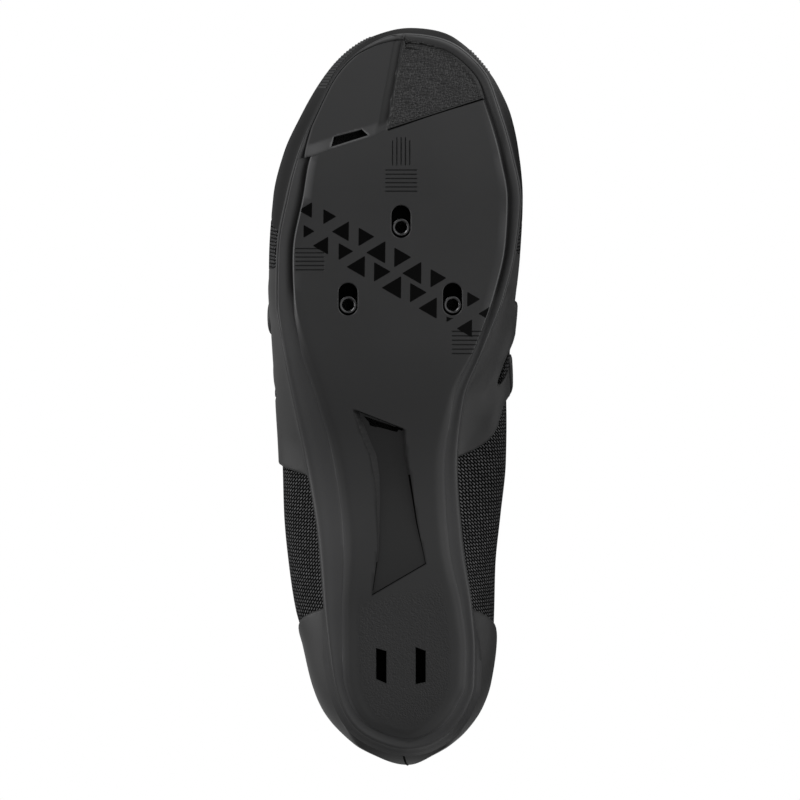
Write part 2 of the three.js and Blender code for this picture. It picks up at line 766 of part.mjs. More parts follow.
// Assembly
function meshOf(name, body, finish) {
  const largest = body.decompose().reduce((a, b) => (a.volume() > b.volume() ? a : b));
  const { vertProperties, triVerts, numProp } = largest.getMesh();
  const positions = new Float32Array((vertProperties.length / numProp) * 3);
  for (let i = 0; i < positions.length / 3; i += 1) {
    positions.set(vertProperties.subarray(i * numProp, i * numProp + 3), i * 3);
  }
  const geometry = new THREE.BufferGeometry();
  geometry.setAttribute("position", new THREE.BufferAttribute(positions, 3));
  geometry.setIndex(new THREE.BufferAttribute(triVerts, 1));
  const mesh = new THREE.Mesh(geometry, new THREE.MeshStandardMaterial(finish));
  mesh.name = name;
  return mesh;
}

const soleBody = makeSoleBody();
const pieces = [
  ["outsole", makeOutsole(soleBody), compositeFinish, compositeDensity],
  ["toe_pad", makeToePad(soleBody), toePadFinish, compositeDensity],
  ["cleat_nut_plate", makeNutPlate(), steelFinish, steelDensity],
  ["insole", makeInsole(), foamFinish, fabricDensity],
  ["upper", makeUpper(), meshFinish, fabricDensity],
  ["tongue", makeTongue(), foamFinish, fabricDensity],
  ["toe_cap", makeOverlay(sideCut(toeCapEdge, -far, far)), overlayFinish, fabricDensity],
  ["medial_wing", makeWing(medialWingEdge, medialSlit, 0, far), overlayFinish, fabricDensity],
  ["lateral_wing", makeWing(lateralWingEdge, lateralSlit, -far, 0), overlayFinish, fabricDensity],
  ["heel_counter", makeOverlay(sideCut(counterEdge, -far, far)), overlayFinish, fabricDensity],
  ["front_strap", makeStrap(frontStrapBand), strapFinish, fabricDensity],
  ["rear_strap", makeStrap(rearStrapBand), strapFinish, fabricDensity],
];

const shoe = new THREE.Group();
for (const [name, body, finish] of pieces) shoe.add(meshOf(name, body, finish));

// The centre of mass, from the tetrahedra under each triangle
function centreOfMass() {
  const total = new THREE.Vector3();
  let mass = 0;
  shoe.children.forEach((mesh, index) => {
    const density = pieces[index][3];
    const position = mesh.geometry.getAttribute("position");
    const corner = (i) => new THREE.Vector3().fromBufferAttribute(position, mesh.geometry.index.getX(i));
    for (let i = 0; i < mesh.geometry.index.count; i += 3) {
      const [a, b, c] = [corner(i), corner(i + 1), corner(i + 2)];
      const weight = (density * a.dot(b.clone().cross(c))) / 6;
      total.addScaledVector(a.add(b).add(c), weight / 4);
      mass += weight;
    }
  });
  return total.divideScalar(mass);
}

// The side it rests on: the face of the hull through which the weight falls
function restingNormal() {
  const points = [];
  for (const mesh of shoe.children) {
    const position = mesh.geometry.getAttribute("position");
    for (let i = 0; i < position.count; i += 1) {
      points.push(new THREE.Vector3().fromBufferAttribute(position, i));
    }
  }
  const hull = new ConvexHull().setFromPoints(points);
  const centre = centreOfMass();
  const down = new THREE.Vector3(0, 1, 0);
  for (let turn = 0; turn < 20; turn += 1) {
    const reach = (face) => {
      const speed = face.normal.dot(down);
      return speed > 1e-6 ? -face.distanceToPoint(centre) / speed : Infinity;
    };
    const struck = hull.faces.reduce((best, face) => (reach(face) < reach(best) ? face : best));
    if (struck.normal.distanceTo(down) < 1e-6) break;
    down.copy(struck.normal);
  }
  return down;
}

const laid = new THREE.Quaternion().setFromAxisAngle(new THREE.Vector3(1, 0, 0), -Math.PI / 2);
const restingDown = restingNormal().applyQuaternion(laid);
const settle = new THREE.Quaternion().setFromUnitVectors(restingDown, new THREE.Vector3(0, 0, -1));
shoe.quaternion.copy(settle.multiply(laid));
shoe.updateMatrixWorld(true);

const bounds = new THREE.Box3().setFromObject(shoe, true);
const middle = bounds.getCenter(new THREE.Vector3());
shoe.position.set(-middle.x, -middle.y, -bounds.min.z);

const group = new THREE.Group();
group.name = "cycling_shoe";
group.add(shoe);
export default group;
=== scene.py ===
# Right road cycling shoe lying on its medial side, seen square on to its sole.
# Shapes are worked out in the shoe's own frame, in millimetres: u from heel to toe, v to the medial
# side and w from the sole up to the instep. to_world() places them where the solids are.
import json
import math

import bpy
import bmesh
import numpy as np
from mathutils import Matrix, Vector


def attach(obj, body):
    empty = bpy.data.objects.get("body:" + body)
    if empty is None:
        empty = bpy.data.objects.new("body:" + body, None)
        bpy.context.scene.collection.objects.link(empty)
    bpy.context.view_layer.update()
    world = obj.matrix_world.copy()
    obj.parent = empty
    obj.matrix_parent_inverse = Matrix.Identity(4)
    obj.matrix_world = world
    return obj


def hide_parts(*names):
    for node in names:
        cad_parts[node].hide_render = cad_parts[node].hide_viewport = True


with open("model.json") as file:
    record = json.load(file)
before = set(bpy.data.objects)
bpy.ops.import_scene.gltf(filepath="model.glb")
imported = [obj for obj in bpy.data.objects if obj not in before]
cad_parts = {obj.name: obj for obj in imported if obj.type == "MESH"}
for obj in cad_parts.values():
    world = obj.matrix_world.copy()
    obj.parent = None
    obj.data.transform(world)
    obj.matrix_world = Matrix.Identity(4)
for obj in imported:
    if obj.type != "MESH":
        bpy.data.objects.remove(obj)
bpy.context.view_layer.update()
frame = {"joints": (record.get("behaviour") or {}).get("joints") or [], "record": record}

# Driving sizes, in millimetres
SHOE_LENGTH = 285.0
BALL_WIDTH = 98.6
INSTEP_HEIGHT = 80.0
HEEL_HEIGHT = 62.0
CLEARANCE = 0.3
UPPER_WALL = 1.6
OVERLAY = 1.2
STRAP = 1.4
TONGUE = 3.0
INSOLE = 3.0
HEEL_TUCK = 5.8
TOE_TUCK = 2.1
SOLE_LENGTH = SHOE_LENGTH - HEEL_TUCK - TOE_TUCK
TOE_SPRING = 17.0
SPRING_START = 0.78 * SHOE_LENGTH
ARCH_RISE = 8.0
ARCH_START = 0.218 * SHOE_LENGTH
ARCH_END = 0.575 * SHOE_LENGTH
HEEL_RISE = 2.5
PLATE_STEP = 1.2
RIM_HEIGHT = 10.0
HEEL_SLOT_DEPTH = 3.0
# Shares that shape the last's sections
SEAT_SHARE = 0.058
CORNER_OUT = 0.93
CORNER_LIFT = 0.12
SHOULDER_LIFT = 0.66
FOOT_TUCK = 0.015

# Cleat hardware
NUT_REAR = 0.6242 * SHOE_LENGTH
NUT_BASE = 30.0
NUT_SPREAD = 40.4
NUT_DIAMETER = 6.8
NUT_BORE = 4.2
NUT_RECESS = 0.9
NUT_TRAVEL = 4.8
NUT_REAR_SPACE = 0.7
NUT_PLATE_THICKNESS = 1.6
NUT_PLATE_MARGIN = 8.0
PLATE_UNDER_NUTS = 3.0
CLEAT_BED_ALONG = 192.0

# How fine the meshes are
SECTIONS = 240
SPAN_STEPS = 18
SOLE_SECTIONS = 190
TOE_SECTIONS = 150


def table(names, rows):
    """A table with named columns, as arrays."""
    columns = np.array(rows, float).T
    return dict(zip(names.split(), columns))


# The sole's outline: shares of the sole's length and of the ball width
SOLE = table("along lateral medial lateral_rim medial_rim", [
    (0, 0.027, 0.027, 0.061, 0.061),
    (0.0043, -0.047, 0.105, 0.061, 0.061),
    (0.028, -0.172, 0.208, 0.058, 0.058),
    (0.056, -0.227, 0.263, 0.056, 0.06),
    (0.09, -0.259, 0.294, 0.057, 0.054),
    (0.14, -0.282, 0.297, 0.073, 0.053),
    (0.195, -0.299, 0.285, 0.088, 0.058),
    (0.293, -0.322, 0.247, 0.118, 0.076),
    (0.398, -0.369, 0.227, 0.129, 0.07),
    (0.488, -0.422, 0.253, 0.11, 0.052),
    (0.558, -0.462, 0.328, 0.088, 0.034),
    (0.63, -0.49, 0.409, 0.074, 0.042),
    (0.698, -0.485, 0.457, 0.065, 0.046),
    (0.768, -0.451, 0.478, 0.067, 0.056),
    (0.83, -0.404, 0.446, 0.052, 0.052),
    (0.9, -0.316, 0.388, 0.05, 0.05),
    (0.94, -0.257, 0.345, 0.05, 0.05),
    (0.97, -0.181, 0.274, 0.05, 0.05),
    (0.99, -0.091, 0.188, 0.05, 0.05),
    (1, 0.02, 0.02, 0.05, 0.05),
])

# The last's widths: shares of the shoe's length and of the ball width
LAST_WIDTHS = table("along lateral medial ridge full", [
    (0, 0.03, 0.03, 0.03, 0.8),
    (0.01, -0.081, 0.113, 0.03, 0.8),
    (0.026, -0.17, 0.193, 0.03, 0.8),
    (0.05, -0.247, 0.271, 0.03, 0.8),
    (0.08, -0.307, 0.326, 0.03, 0.8),
    (0.11, -0.34, 0.354, 0.025, 0.79),
    (0.16, -0.375, 0.374, 0.02, 0.77),
    (0.21, -0.419, 0.38, 0.02, 0.75),
    (0.27, -0.447, 0.384, 0.025, 0.72),
    (0.34, -0.467, 0.403, 0.03, 0.7),
    (0.41, -0.475, 0.424, 0.04, 0.69),
    (0.48, -0.487, 0.429, 0.05, 0.69),
    (0.54, -0.495, 0.428, 0.06, 0.7),
    (0.6, -0.507, 0.442, 0.065, 0.72),
    (0.68, -0.511, 0.466, 0.07, 0.75),
    (0.77, -0.497, 0.479, 0.075, 0.78),
    (0.83, -0.456, 0.465, 0.075, 0.8),
    (0.88, -0.39, 0.436, 0.07, 0.8),
    (0.92, -0.325, 0.385, 0.065, 0.8),
    (0.955, -0.248, 0.314, 0.055, 0.8),
    (0.98, -0.157, 0.238, 0.05, 0.8),
    (0.994, -0.06, 0.167, 0.045, 0.8),
    (1, 0.042, 0.042, 0.042, 0.8),
])

# The last's heights at the same places: shares of the instep height
LAST_HEIGHTS = table("along low wide top", [
    (0, 0.325, 0.325, 0.325),
    (0.01, 0.19, 0.31, 0.64),
    (0.026, 0.12, 0.3, 0.86),
    (0.05, 0.075, 0.295, 1.0),
    (0.08, 0.062, 0.295, 1.08),
    (0.11, SEAT_SHARE, 0.295, 1.12),
    (0.16, SEAT_SHARE, 0.3, 1.14),
    (0.21, SEAT_SHARE, 0.315, 1.14),
    (0.27, SEAT_SHARE, 0.34, 1.13),
    (0.34, SEAT_SHARE, 0.36, 1.1),
    (0.41, SEAT_SHARE, 0.37, 1.05),
    (0.48, SEAT_SHARE, 0.37, 0.98),
    (0.54, SEAT_SHARE, 0.365, 0.91),
    (0.6, SEAT_SHARE, 0.34, 0.83),
    (0.68, SEAT_SHARE, 0.31, 0.72),
    (0.77, SEAT_SHARE, 0.285, 0.62),
    (0.83, SEAT_SHARE, 0.27, 0.56),
    (0.88, SEAT_SHARE, 0.26, 0.51),
    (0.92, SEAT_SHARE, 0.25, 0.465),
    (0.955, 0.065, 0.235, 0.41),
    (0.98, 0.1, 0.225, 0.35),
    (0.994, 0.14, 0.21, 0.285),
    (1, 0.205, 0.205, 0.205),
])

# Panel edges seen from the side: shares of the shoe's length and of the instep height
MEDIAL_WING = [
    (0.7, -0.2), (0.696, 0.15), (0.69, 0.33), (0.655, 0.63), (0.6, 1.2), (0.44, 1.2), (0.468, 0.75),
    (0.498, 0.45), (0.497, 0.36), (0.487, 0.328), (0.473, 0.317), (0.456, 0.306), (0.438, 0.284),
    (0.424, 0.254), (0.416, 0.22), (0.412, 0.15), (0.41, -0.2),
]
MEDIAL_SLIT = [
    (0.515, 0.282), (0.552, 0.308), (0.578, 0.388), (0.562, 0.75), (0.54, 1.2), (0.51, 1.2), (0.528, 0.75),
    (0.545, 0.46), (0.534, 0.36),
]
LATERAL_WING = [
    (0.68, -0.2), (0.676, 0.15), (0.67, 0.35), (0.64, 0.63), (0.59, 1.2), (0.36, 1.2),
    (0.388, 0.75), (0.408, 0.4), (0.396, 0.26), (0.381, 0.15), (0.372, -0.2),
]
LATERAL_SLIT = [
    (0.505, 0.31), (0.517, 0.4), (0.505, 0.75), (0.49, 1.2), (0.462, 1.2), (0.477, 0.75), (0.494, 0.4),
]
TOE_CAP = [
    (1.1, -0.2), (1.1, 1.2), (0.93, 1.2), (0.9, 0.68), (0.85, 0.5), (0.79, 0.37), (0.735, 0.24),
    (0.725, -0.2),
]
MEDIAL_WINDOW = [(0.6986, 0.05), (0.729, 0.05), (0.7335, 0.24), (0.757, 0.3), (0.7, 0.36), (0.6915, 0.33)]
LATERAL_WINDOW = [(0.6786, 0.05), (0.729, 0.05), (0.7335, 0.24), (0.745, 0.28), (0.7, 0.36), (0.6715, 0.35)]
COUNTER = [
    (-0.1, -0.2), (0.222, -0.2), (0.212, 0.14), (0.19, 0.3), (0.152, 0.45), (0.1, 0.6), (0.05, 0.67),
    (-0.1, 0.7),
]
FRONT_STRAP = [(0.59, 0.36), (0.627, 0.36), (0.617, 0.7), (0.595, 1.3), (0.535, 1.3), (0.57, 0.7)]
REAR_STRAP = [(0.512, 0.44), (0.556, 0.44), (0.542, 0.75), (0.515, 1.3), (0.44, 1.3), (0.486, 0.75)]
# The throat seen from above: shares of the shoe's length and of the ball width
THROAT = [
    (0.3, 0.25), (0.4, 0.22), (0.55, 0.18), (0.66, 0.145), (0.71, 0.08), (0.71, 0.04), (0.66, -0.03),
    (0.55, -0.08), (0.4, -0.14), (0.3, -0.18),
]
# The collar's rim: shares of the shoe's length and of the heel's height
COLLAR = [
    (-0.1, 1.0), (0.01, 1.0), (0.06, 0.97), (0.12, 0.87), (0.17, 0.82), (0.23, 0.86), (0.29, 1.0),
    (0.34, 1.18), (0.38, 1.45), (0.38, 3.0), (-0.1, 3.0),
]

# Cuts in the sole seen from below: shares of the shoe's length and of the ball width
TOE_JOINT = [
    (0.81, -0.6), (0.826, -0.341), (0.835, -0.267), (0.852, -0.108), (0.86, -0.063), (0.904, 0.33),
    (0.93, 0.6),
]
TOE_VENT = [(0.8385, -0.27), (0.852, -0.259), (0.862, -0.149), (0.8543, -0.125)]
ARCH_VENT = [(0.4737, -0.144), (0.4568, -0.002), (0.4516, -0.012), (0.4603, -0.108)]
HEEL_SLOTS = [
    [(0.1167, -0.093), (0.158, -0.093), (0.154, -0.054), (0.111, -0.054)],
    [(0.11, 0.062), (0.1593, 0.062), (0.1545, 0.1), (0.1125, 0.1)],
]


# The shoe's frame in the world
joint = frame["joints"][0]
mount = frame["record"]["mounts"][0]
toeward = Vector(joint["axis"]).normalized()
instepward = -Vector(mount["axis"])
instepward = (instepward - instepward.dot(toeward) * toeward).normalized()
medialward = instepward.cross(toeward)
shoe_origin = Vector(mount["pos_m"]) - toeward * CLEAT_BED_ALONG / 1000
AXES = np.array([toeward, medialward, instepward])
ORIGIN = np.array(shoe_origin)


def to_world(points):
    """Points of the shoe's frame in millimetres, as points of the world in metres."""
    return ORIGIN + np.asarray(points, float) @ AXES / 1000


def to_shoe(points):
    """The way back."""
    return (np.asarray(points, float) - ORIGIN) @ AXES.T * 1000


# Smooth functions of the share along a table
def tip_angle(along):
    return np.arccos(1 - 2 * np.clip(along, 0, 1))


def smooth_column(columns, name):
    angles = tip_angle(columns["along"])
    values = columns[name]
    slopes = np.diff(values) / np.diff(angles)
    before, after = slopes[:-1], slopes[1:]
    same_way = before * after > 0
    total = np.where(same_way, before + after, 1)
    inner = np.where(same_way, 2 * before * after / total, 0)
    tangents = np.concatenate([slopes[:1], inner, slopes[-1:]])

    def at(along):
        angle = tip_angle(np.asarray(along, float))
        i = np.clip(np.searchsorted(angles, angle) - 1, 0, len(values) - 2)
        width = angles[i + 1] - angles[i]
        t = (angle - angles[i]) / width
        start = (1 + 2 * t) * (1 - t) ** 2
        end = t * t * (3 - 2 * t)
        bend = width * t * (1 - t) * ((1 - t) * tangents[i] - t * tangents[i + 1])
        return start * values[i] + end * values[i + 1] + bend

    return at


def smooth_columns(columns):
    return {name: smooth_column(columns, name) for name in columns if name != "along"}


sole_shape = smooth_columns(SOLE)
last_shape = {**smooth_columns(LAST_WIDTHS), **smooth_columns(LAST_HEIGHTS)}


def spring_height(u):
    reach = np.maximum(0, (u - SPRING_START) / (SHOE_LENGTH - SPRING_START))
    return TOE_SPRING * reach ** 1.8


def underside_height(u):
    share = np.clip((u - ARCH_START) / (ARCH_END - ARCH_START), 0, 1)
    arch = ARCH_RISE * np.sin(np.pi * share) ** 2
    heel = np.maximum(0, 1 - u / (0.1 * SHOE_LENGTH))
    return spring_height(u) + arch + HEEL_RISE * heel ** 2


# The last
def closed_curve(points, steps):
    """A closed centripetal Catmull-Rom curve through each row of points."""
    gap = lambda a, b: np.linalg.norm(b - a, axis=-1)[..., None] ** 0.5
    p0, p1, p2, p3 = (np.roll(points, shift, axis=1) for shift in (1, 0, -1, -2))
    d1 = gap(p1, p2)
    d1 = np.where(d1 < 1e-4, 1, d1)
    d0 = gap(p0, p1)
    d0 = np.where(d0 < 1e-4, d1, d0)
    d2 = gap(p2, p3)
    d2 = np.where(d2 < 1e-4, d1, d2)
    m1 = ((p1 - p0) / d0 - (p2 - p0) / (d0 + d1) + (p2 - p1) / d1) * d1
    m2 = ((p2 - p1) / d1 - (p3 - p1) / (d1 + d2) + (p3 - p2) / d2) * d1
    curve = []
    for t in np.arange(steps) / steps:
        cubic = 2 * p1 - 2 * p2 + m1 + m2
        square = -3 * p1 + 3 * p2 - 2 * m1 - m2
        curve.append(p1 + m1 * t + square * t ** 2 + cubic * t ** 3)
    return np.stack(curve, axis=2).reshape(len(points), -1, points.shape[-1])


def smooth_step(value, low=0.0, high=1.0):
    t = np.clip((value - low) / (high - low), 0, 1)
    return t * t * (3 - 2 * t)


def last_rings(sections=SECTIONS, steps=SPAN_STEPS):
    along = (1 - np.cos(np.pi * np.arange(sections + 1) / sections)) / 2
    u = along * SHOE_LENGTH
    lateral, medial, ridge = (last_shape[n](along) * BALL_WIDTH for n in ("lateral", "medial", "ridge"))
    tuck = FOOT_TUCK * (medial - lateral)
    foot_lateral = np.maximum(sole_shape["lateral"](along) * BALL_WIDTH, lateral + tuck)
    foot_medial = np.minimum(sole_shape["medial"](along) * BALL_WIDTH, medial - tuck)
    floor = underside_height(u)
    spring = spring_height(u)
    wide = spring + last_shape["wide"](along) * INSTEP_HEIGHT
    top = spring + last_shape["top"](along) * INSTEP_HEIGHT
    low = np.minimum(floor + last_shape["low"](along) * INSTEP_HEIGHT, wide)
    edge = np.minimum(np.maximum(floor + RIM_HEIGHT, low), wide)
    middle = (foot_lateral + foot_medial) / 2
    full = last_shape["full"](along)
    shoulder = wide + SHOULDER_LIFT * (top - wide)
    corner = low + CORNER_LIFT * np.minimum(SEAT_SHARE * INSTEP_HEIGHT, edge - low)
    outline = [
        (middle, low),
        (middle + CORNER_OUT * (foot_medial - middle), corner),
        (foot_medial, edge),
        (medial, wide),
        (ridge + full * (medial - ridge), shoulder),
        (ridge, top),
        (ridge + full * (lateral - ridge), shoulder),
        (lateral, wide),
        (foot_lateral, edge),
        (middle + CORNER_OUT * (foot_lateral - middle), corner),
    ]
    points = np.stack([np.stack([u, v, w], axis=1) for v, w in outline], axis=1)
    rings = closed_curve(points, steps)
    tips = np.stack([u, ridge, wide], axis=1)
    rings[0] = tips[0]
    rings[-1] = tips[-1]
    return rings


def ring_normals(rings):
    along = np.zeros_like(rings)
    along[1:-1] = rings[2:] - rings[:-2]
    around = np.roll(rings, -1, axis=1) - np.roll(rings, 1, axis=1)
    normals = np.cross(around, along)
    normals /= np.maximum(np.linalg.norm(normals, axis=2, keepdims=True), 1e-9)
    heel_tip = 1 - smooth_step(rings[..., :1], 0.1, 0.5)
    toe_tip = 1 - smooth_step(SHOE_LENGTH - rings[..., :1], 0.02, 0.15)
    normals = normals * (1 - heel_tip - toe_tip) + (toe_tip - heel_tip) * (1, 0, 0)
    return normals / np.linalg.norm(normals, axis=2, keepdims=True)


RINGS = last_rings()
NORMALS = ring_normals(RINGS)
ARC = np.cumsum(np.linalg.norm(RINGS - np.roll(RINGS, 1, axis=1), axis=2), axis=1)
BOOTIE = -(OVERLAY + CLEARANCE)
LINING = BOOTIE - UPPER_WALL - CLEARANCE


# Meshes
def make_object(name, points, faces):
    mesh = bpy.data.meshes.new(name)
    mesh.from_pydata(to_world(points).tolist(), [], [tuple(face) for face in faces])
    mesh.validate()
    piece = bpy.data.objects.new(name, mesh)
    bpy.context.scene.collection.objects.link(piece)
    return piece


def weld(piece, distance=2e-7):
    editable = bmesh.new()
    editable.from_mesh(piece.data)
    bmesh.ops.remove_doubles(editable, verts=editable.verts, dist=distance)
    bmesh.ops.dissolve_degenerate(editable, edges=editable.edges, dist=1e-8)
    bmesh.ops.recalc_face_normals(editable, faces=editable.faces)
    if editable.calc_volume(signed=True) < 0:
        bmesh.ops.reverse_faces(editable, faces=editable.faces)
    editable.to_mesh(piece.data)
    editable.free()


def store(piece, name, values):
    """Keeps a number or a place for every point of the piece."""
    values = np.asarray(values, np.float32)
    kind, field = ("FLOAT", "value") if values.ndim == 1 else ("FLOAT_VECTOR", "vector")
    piece.data.attributes.new(name, kind, "POINT").data.foreach_set(field, values.ravel())


def material_indices(mesh):
    indices = np.zeros(len(mesh.polygons), np.int32)
    mesh.polygons.foreach_get("material_index", indices)
    return np.maximum(indices, 0)


def grid_faces(count, around, closed=True):
    index = np.arange(count * around).reshape(count, around)
    last = around if closed else around - 1
    right = np.roll(index, -1, axis=1)
    faces = np.stack([index[:-1], right[:-1], right[1:], index[1:]], axis=2)[:, :last]
    return faces.reshape(-1, 4).tolist()


def loft(name, rings):
    """A closed skin over rings. An end ring that doesn't close on itself is capped."""
    count, around = rings.shape[:2]
    faces = grid_faces(count, around)
    first, last = range(around - 1, -1, -1), range((count - 1) * around, count * around)
    for ring, cap in ((rings[0], first), (rings[-1], last)):
        middle = ring - ring.mean(axis=0)
        if np.linalg.norm(np.cross(middle, np.roll(middle, -1, axis=0)).sum(axis=0)) > 1e-6:
            faces.append(list(cap))
    piece = make_object(name, rings.reshape(-1, 3), faces)
    weld(piece)
    return piece


def form(name, grow):
    return loft(name, RINGS + grow * NORMALS)


# Keeps the corners of a moved outline from running out into long points
MITRE_LIMIT = 0.4


def grown(outline, distance):
    """A closed outline moved outwards by a distance, counted across its edges."""
    outline = np.asarray(outline, float)
    before = outline - np.roll(outline, 1, axis=0)
    after = np.roll(outline, -1, axis=0) - outline
    x, y = outline.T
    area = (x * np.roll(y, -1) - np.roll(x, -1) * y).sum()
    turn = 1 if area > 0 else -1

    def outward(edge):
        across = turn * np.stack([edge[:, 1], -edge[:, 0]], axis=1)
        return across / np.linalg.norm(edge, axis=1, keepdims=True)

    n1, n2 = outward(before), outward(after)
    mitre = (n1 + n2) / np.maximum(1 + (n1 * n2).sum(axis=1, keepdims=True), MITRE_LIMIT)
    return outline + distance * mitre


def prism(name, outline, levels):
    """A closed post over a plan outline in millimetres: levels are (height, how much wider)."""
    rings = []
    for height, wider in levels:
        places = grown(outline, wider)
        rings.append(np.column_stack([places, np.full(len(places), height)]))
    return loft(name, np.array(rings))


def plan(outline):
    """A plan outline's shares, in millimetres."""
    return [(along * SHOE_LENGTH, across * BALL_WIDTH) for along, across in outline]


def remove(piece):
    shape = piece.data
    bpy.data.objects.remove(piece)
    bpy.data.meshes.remove(shape)


def joined(pieces):
    """Several separate meshes as one object."""
    first = pieces[0]
    editable = bmesh.new()
    for piece in pieces:
        editable.from_mesh(piece.data)
    editable.to_mesh(first.data)
    editable.free()
    for piece in pieces[1:]:
        remove(piece)
    return first


def boolean(piece, cutters, operation="DIFFERENCE"):
    """Cuts the piece with the cutters, or keeps what lies inside them, and removes them."""
    for cutter in cutters:
        modifier = piece.modifiers.new("cut", "BOOLEAN")
        modifier.operation = operation
        modifier.solver = "MANIFOLD"
        modifier.object = cutter
    graph = bpy.context.evaluated_depsgraph_get()
    graph.update()
    old = piece.data
    mesh = bpy.data.meshes.new_from_object(piece.evaluated_get(graph))
    piece.modifiers.clear()
    piece.data = mesh
    bpy.data.meshes.remove(old)
    for cutter in cutters:
        remove(cutter)
    return piece


# The sole's skin
def sole_point(along, side, inset):
    """The point of the sole's outline at a share of its length, moved in from the edge."""
    width = sole_shape[side]
    u = HEEL_TUCK + along * SOLE_LENGTH
    v = width(along) * BALL_WIDTH
    if along == 0:
        return u + inset, v
    if along == 1:
        return u - inset, v
    step = min(1e-3, along / 2, (1 - along) / 2)
    du = 2 * step * SOLE_LENGTH
    dv = (width(along + step) - width(along - step)) * BALL_WIDTH
    turn = 1 if side == "medial" else -1
    size = math.hypot(du, dv)
    return u + turn * dv * inset / size, v - turn * du * inset / size


# The rim's section from the plate's edge outwards: shares of the rim's width, and heights over the plate
FRONT_RIM = [
    (0.985, 1.9), (0.95, 2.3), (0.88, 2.28), (0.78, 2.05), (0.66, 1.75), (0.54, 1.5), (0.42, 1.32),
    (0.3, 1.2), (0.21, 1.2), (0.165, 1.32), (0.13, 1.62), (0.1, 1.42), (0.06, 1.5), (0.025, 2.0), (0, 3.4),
]
REAR_RIM = [
    (0.92, 1.3), (0.84, 1.45), (0.74, 1.62), (0.62, 1.74), (0.5, 1.76), (0.4, 1.7), (0.31, 1.56),
    (0.24, 1.45), (0.18, 1.43), (0.13, 1.55), (0.09, 1.76), (0.055, 2.06), (0.025, 2.5), (0.006, 3.0),
    (0, 3.4),
]
# Shares of the sole's length between which the rear section turns into the front one
RIM_CHANGE = (0.5, 0.66)
# The step at the plate's edge: millimetres in from the edge, and heights over the plate
SHARP_STEP = [
    (0.6, 0), (0.46, 0.03), (0.34, 0.1), (0.22, 0.22), (0.1, 0.38), (0, 0.6), (-0.05, 0.9), (-0.08, 1.2),
]
SOFT_STEP = [
    (2.4, 0), (1.8, 0.05), (1.2, 0.17), (0.6, 0.36), (0, 0.6), (-0.6, 0.84), (-1.2, 1.04), (-1.8, 1.18),
]
# Rows of the rim that would reach over the step are stacked close to it
STACK_GAP, STACK_STEP = 0.05, 0.02
# How soft the step is at places along the sole, from 0 to 1
SOFTNESS = {
    "lateral": ((0.0, 0.8), (0.15, 0.8), (0.3, 0.9), (0.4, 1.0), (0.54, 1.0), (0.64, 0.0), (1.0, 0.0)),
    "medial": ((0.0, 0.8), (0.15, 0.8), (0.25, 0.9), (0.34, 1.0), (0.42, 0.9), (0.56, 0.0), (1.0, 0.0)),
}
# The toe pad's facet reaches almost to the sole's edge: places along the sole, and shares of the ball width
TOE_LATERAL_RIM = ((0.83, 0.03), (0.87, 0.012), (0.9, 0.009), (0.97, 0.009), (0.99, 0.02), (1, 0.03))
# The sole's wall leans out at the heel: how far, where that ends, and its rows as shares and heights
HEEL_FLARE = 2.4
FLARE_END = (0.12, 0.2)
FLARE_ROWS = ((0.35, 4.6), (1, 7.0), (1, RIM_HEIGHT))
PLATE_ROWS = 26


def mixed_rows(first, second, share):
    first, second = np.array(first), np.array(second)
    return first + (second - first) * share


def rim_width(along, side, on_toe=False):
    """The rim's width in millimetres."""
    if on_toe and side == "lateral":
        return np.interp(along, *zip(*TOE_LATERAL_RIM)) * BALL_WIDTH
    return sole_shape[side + "_rim"](along) * BALL_WIDTH


def section_rows(along, side, softness, on_toe=False):
    """The section from the plate's edge out to the sole's top edge: insets and heights."""
    rim = float(rim_width(along, side, on_toe))
    front = float(smooth_step(along, *RIM_CHANGE))
    step = mixed_rows(SHARP_STEP, SOFT_STEP, softness) + (rim, 0)
    outer = mixed_rows(REAR_RIM, FRONT_RIM, front) * (rim, 1)
    limit = step[-1, 0] - STACK_GAP
    over = outer[:, 0] > limit
    outer[over, 0] = limit - STACK_STEP * np.arange(over.sum())
    flare = HEEL_FLARE * (1 - float(smooth_step(along, *FLARE_END)))
    wall = [(-share * flare, height) for share, height in FLARE_ROWS]
    return [tuple(row) for row in step] + [tuple(row) for row in outer] + wall


def rim_rows(along, side):
    softness = np.interp(along, *zip(*SOFTNESS[side]))
    return section_rows(along, side, softness)


def sole_rings(alongs, rows_at, inner=PLATE_ROWS, relief=None):
    """Rings round the sole: out over the lateral rim, back over the medial rim, and across the plate."""
    rings = []
    for along in alongs:
        sides = []
        for side in ("lateral", "medial"):
            rows = rows_at(along, side)
            sides.append(np.array([(*sole_point(along, side, inset), height) for inset, height in rows]))
        lateral, medial = sides
        t = np.arange(1, inner)[:, None] / inner
        across = medial[0] + t * (lateral[0] - medial[0])
        rings.append(np.concatenate([lateral, medial[::-1], across]))
    rings = np.array(rings)
    u, v, height = rings[..., 0], rings[..., 1], rings[..., 2]
    if relief is not None:
        height = relief(u, v, height)
    return np.stack([u, v, underside_height(u) + height], axis=2)


def cosine_steps(count, start=0.0, end=1.0):
    first, last = math.acos(1 - 2 * start), math.acos(1 - 2 * end)
    return (1 - np.cos(np.linspace(first, last, count + 1))) / 2


def slab_rows(inset, low, high):
    return lambda along, side: [(inset, low), (inset, high)]


# The toe pad: a smooth facet on the lateral side, a valley, and a pebbled tread on the medial side
FACET_RISE = 1.35
FACET_SLOPE = 4.6
VALLEY = ((249.0, -6.4), (280.5, -0.6))
VALLEY_WIDTH = 4.2
VALLEY_DEPTH = 0.75
TREAD_SINK = 0.5
TREAD_BORDER = (0.85, 1.0)
VALLEY_START = (1.0, 4.0)
# The slanted joint makes distances across it shorter than along the shoe
JOINT_SLANT = 0.93
TOE_SOFTNESS = 0.4
TOE_SOFT_START = (0.88, 0.95)
TOE_ROWS = 110


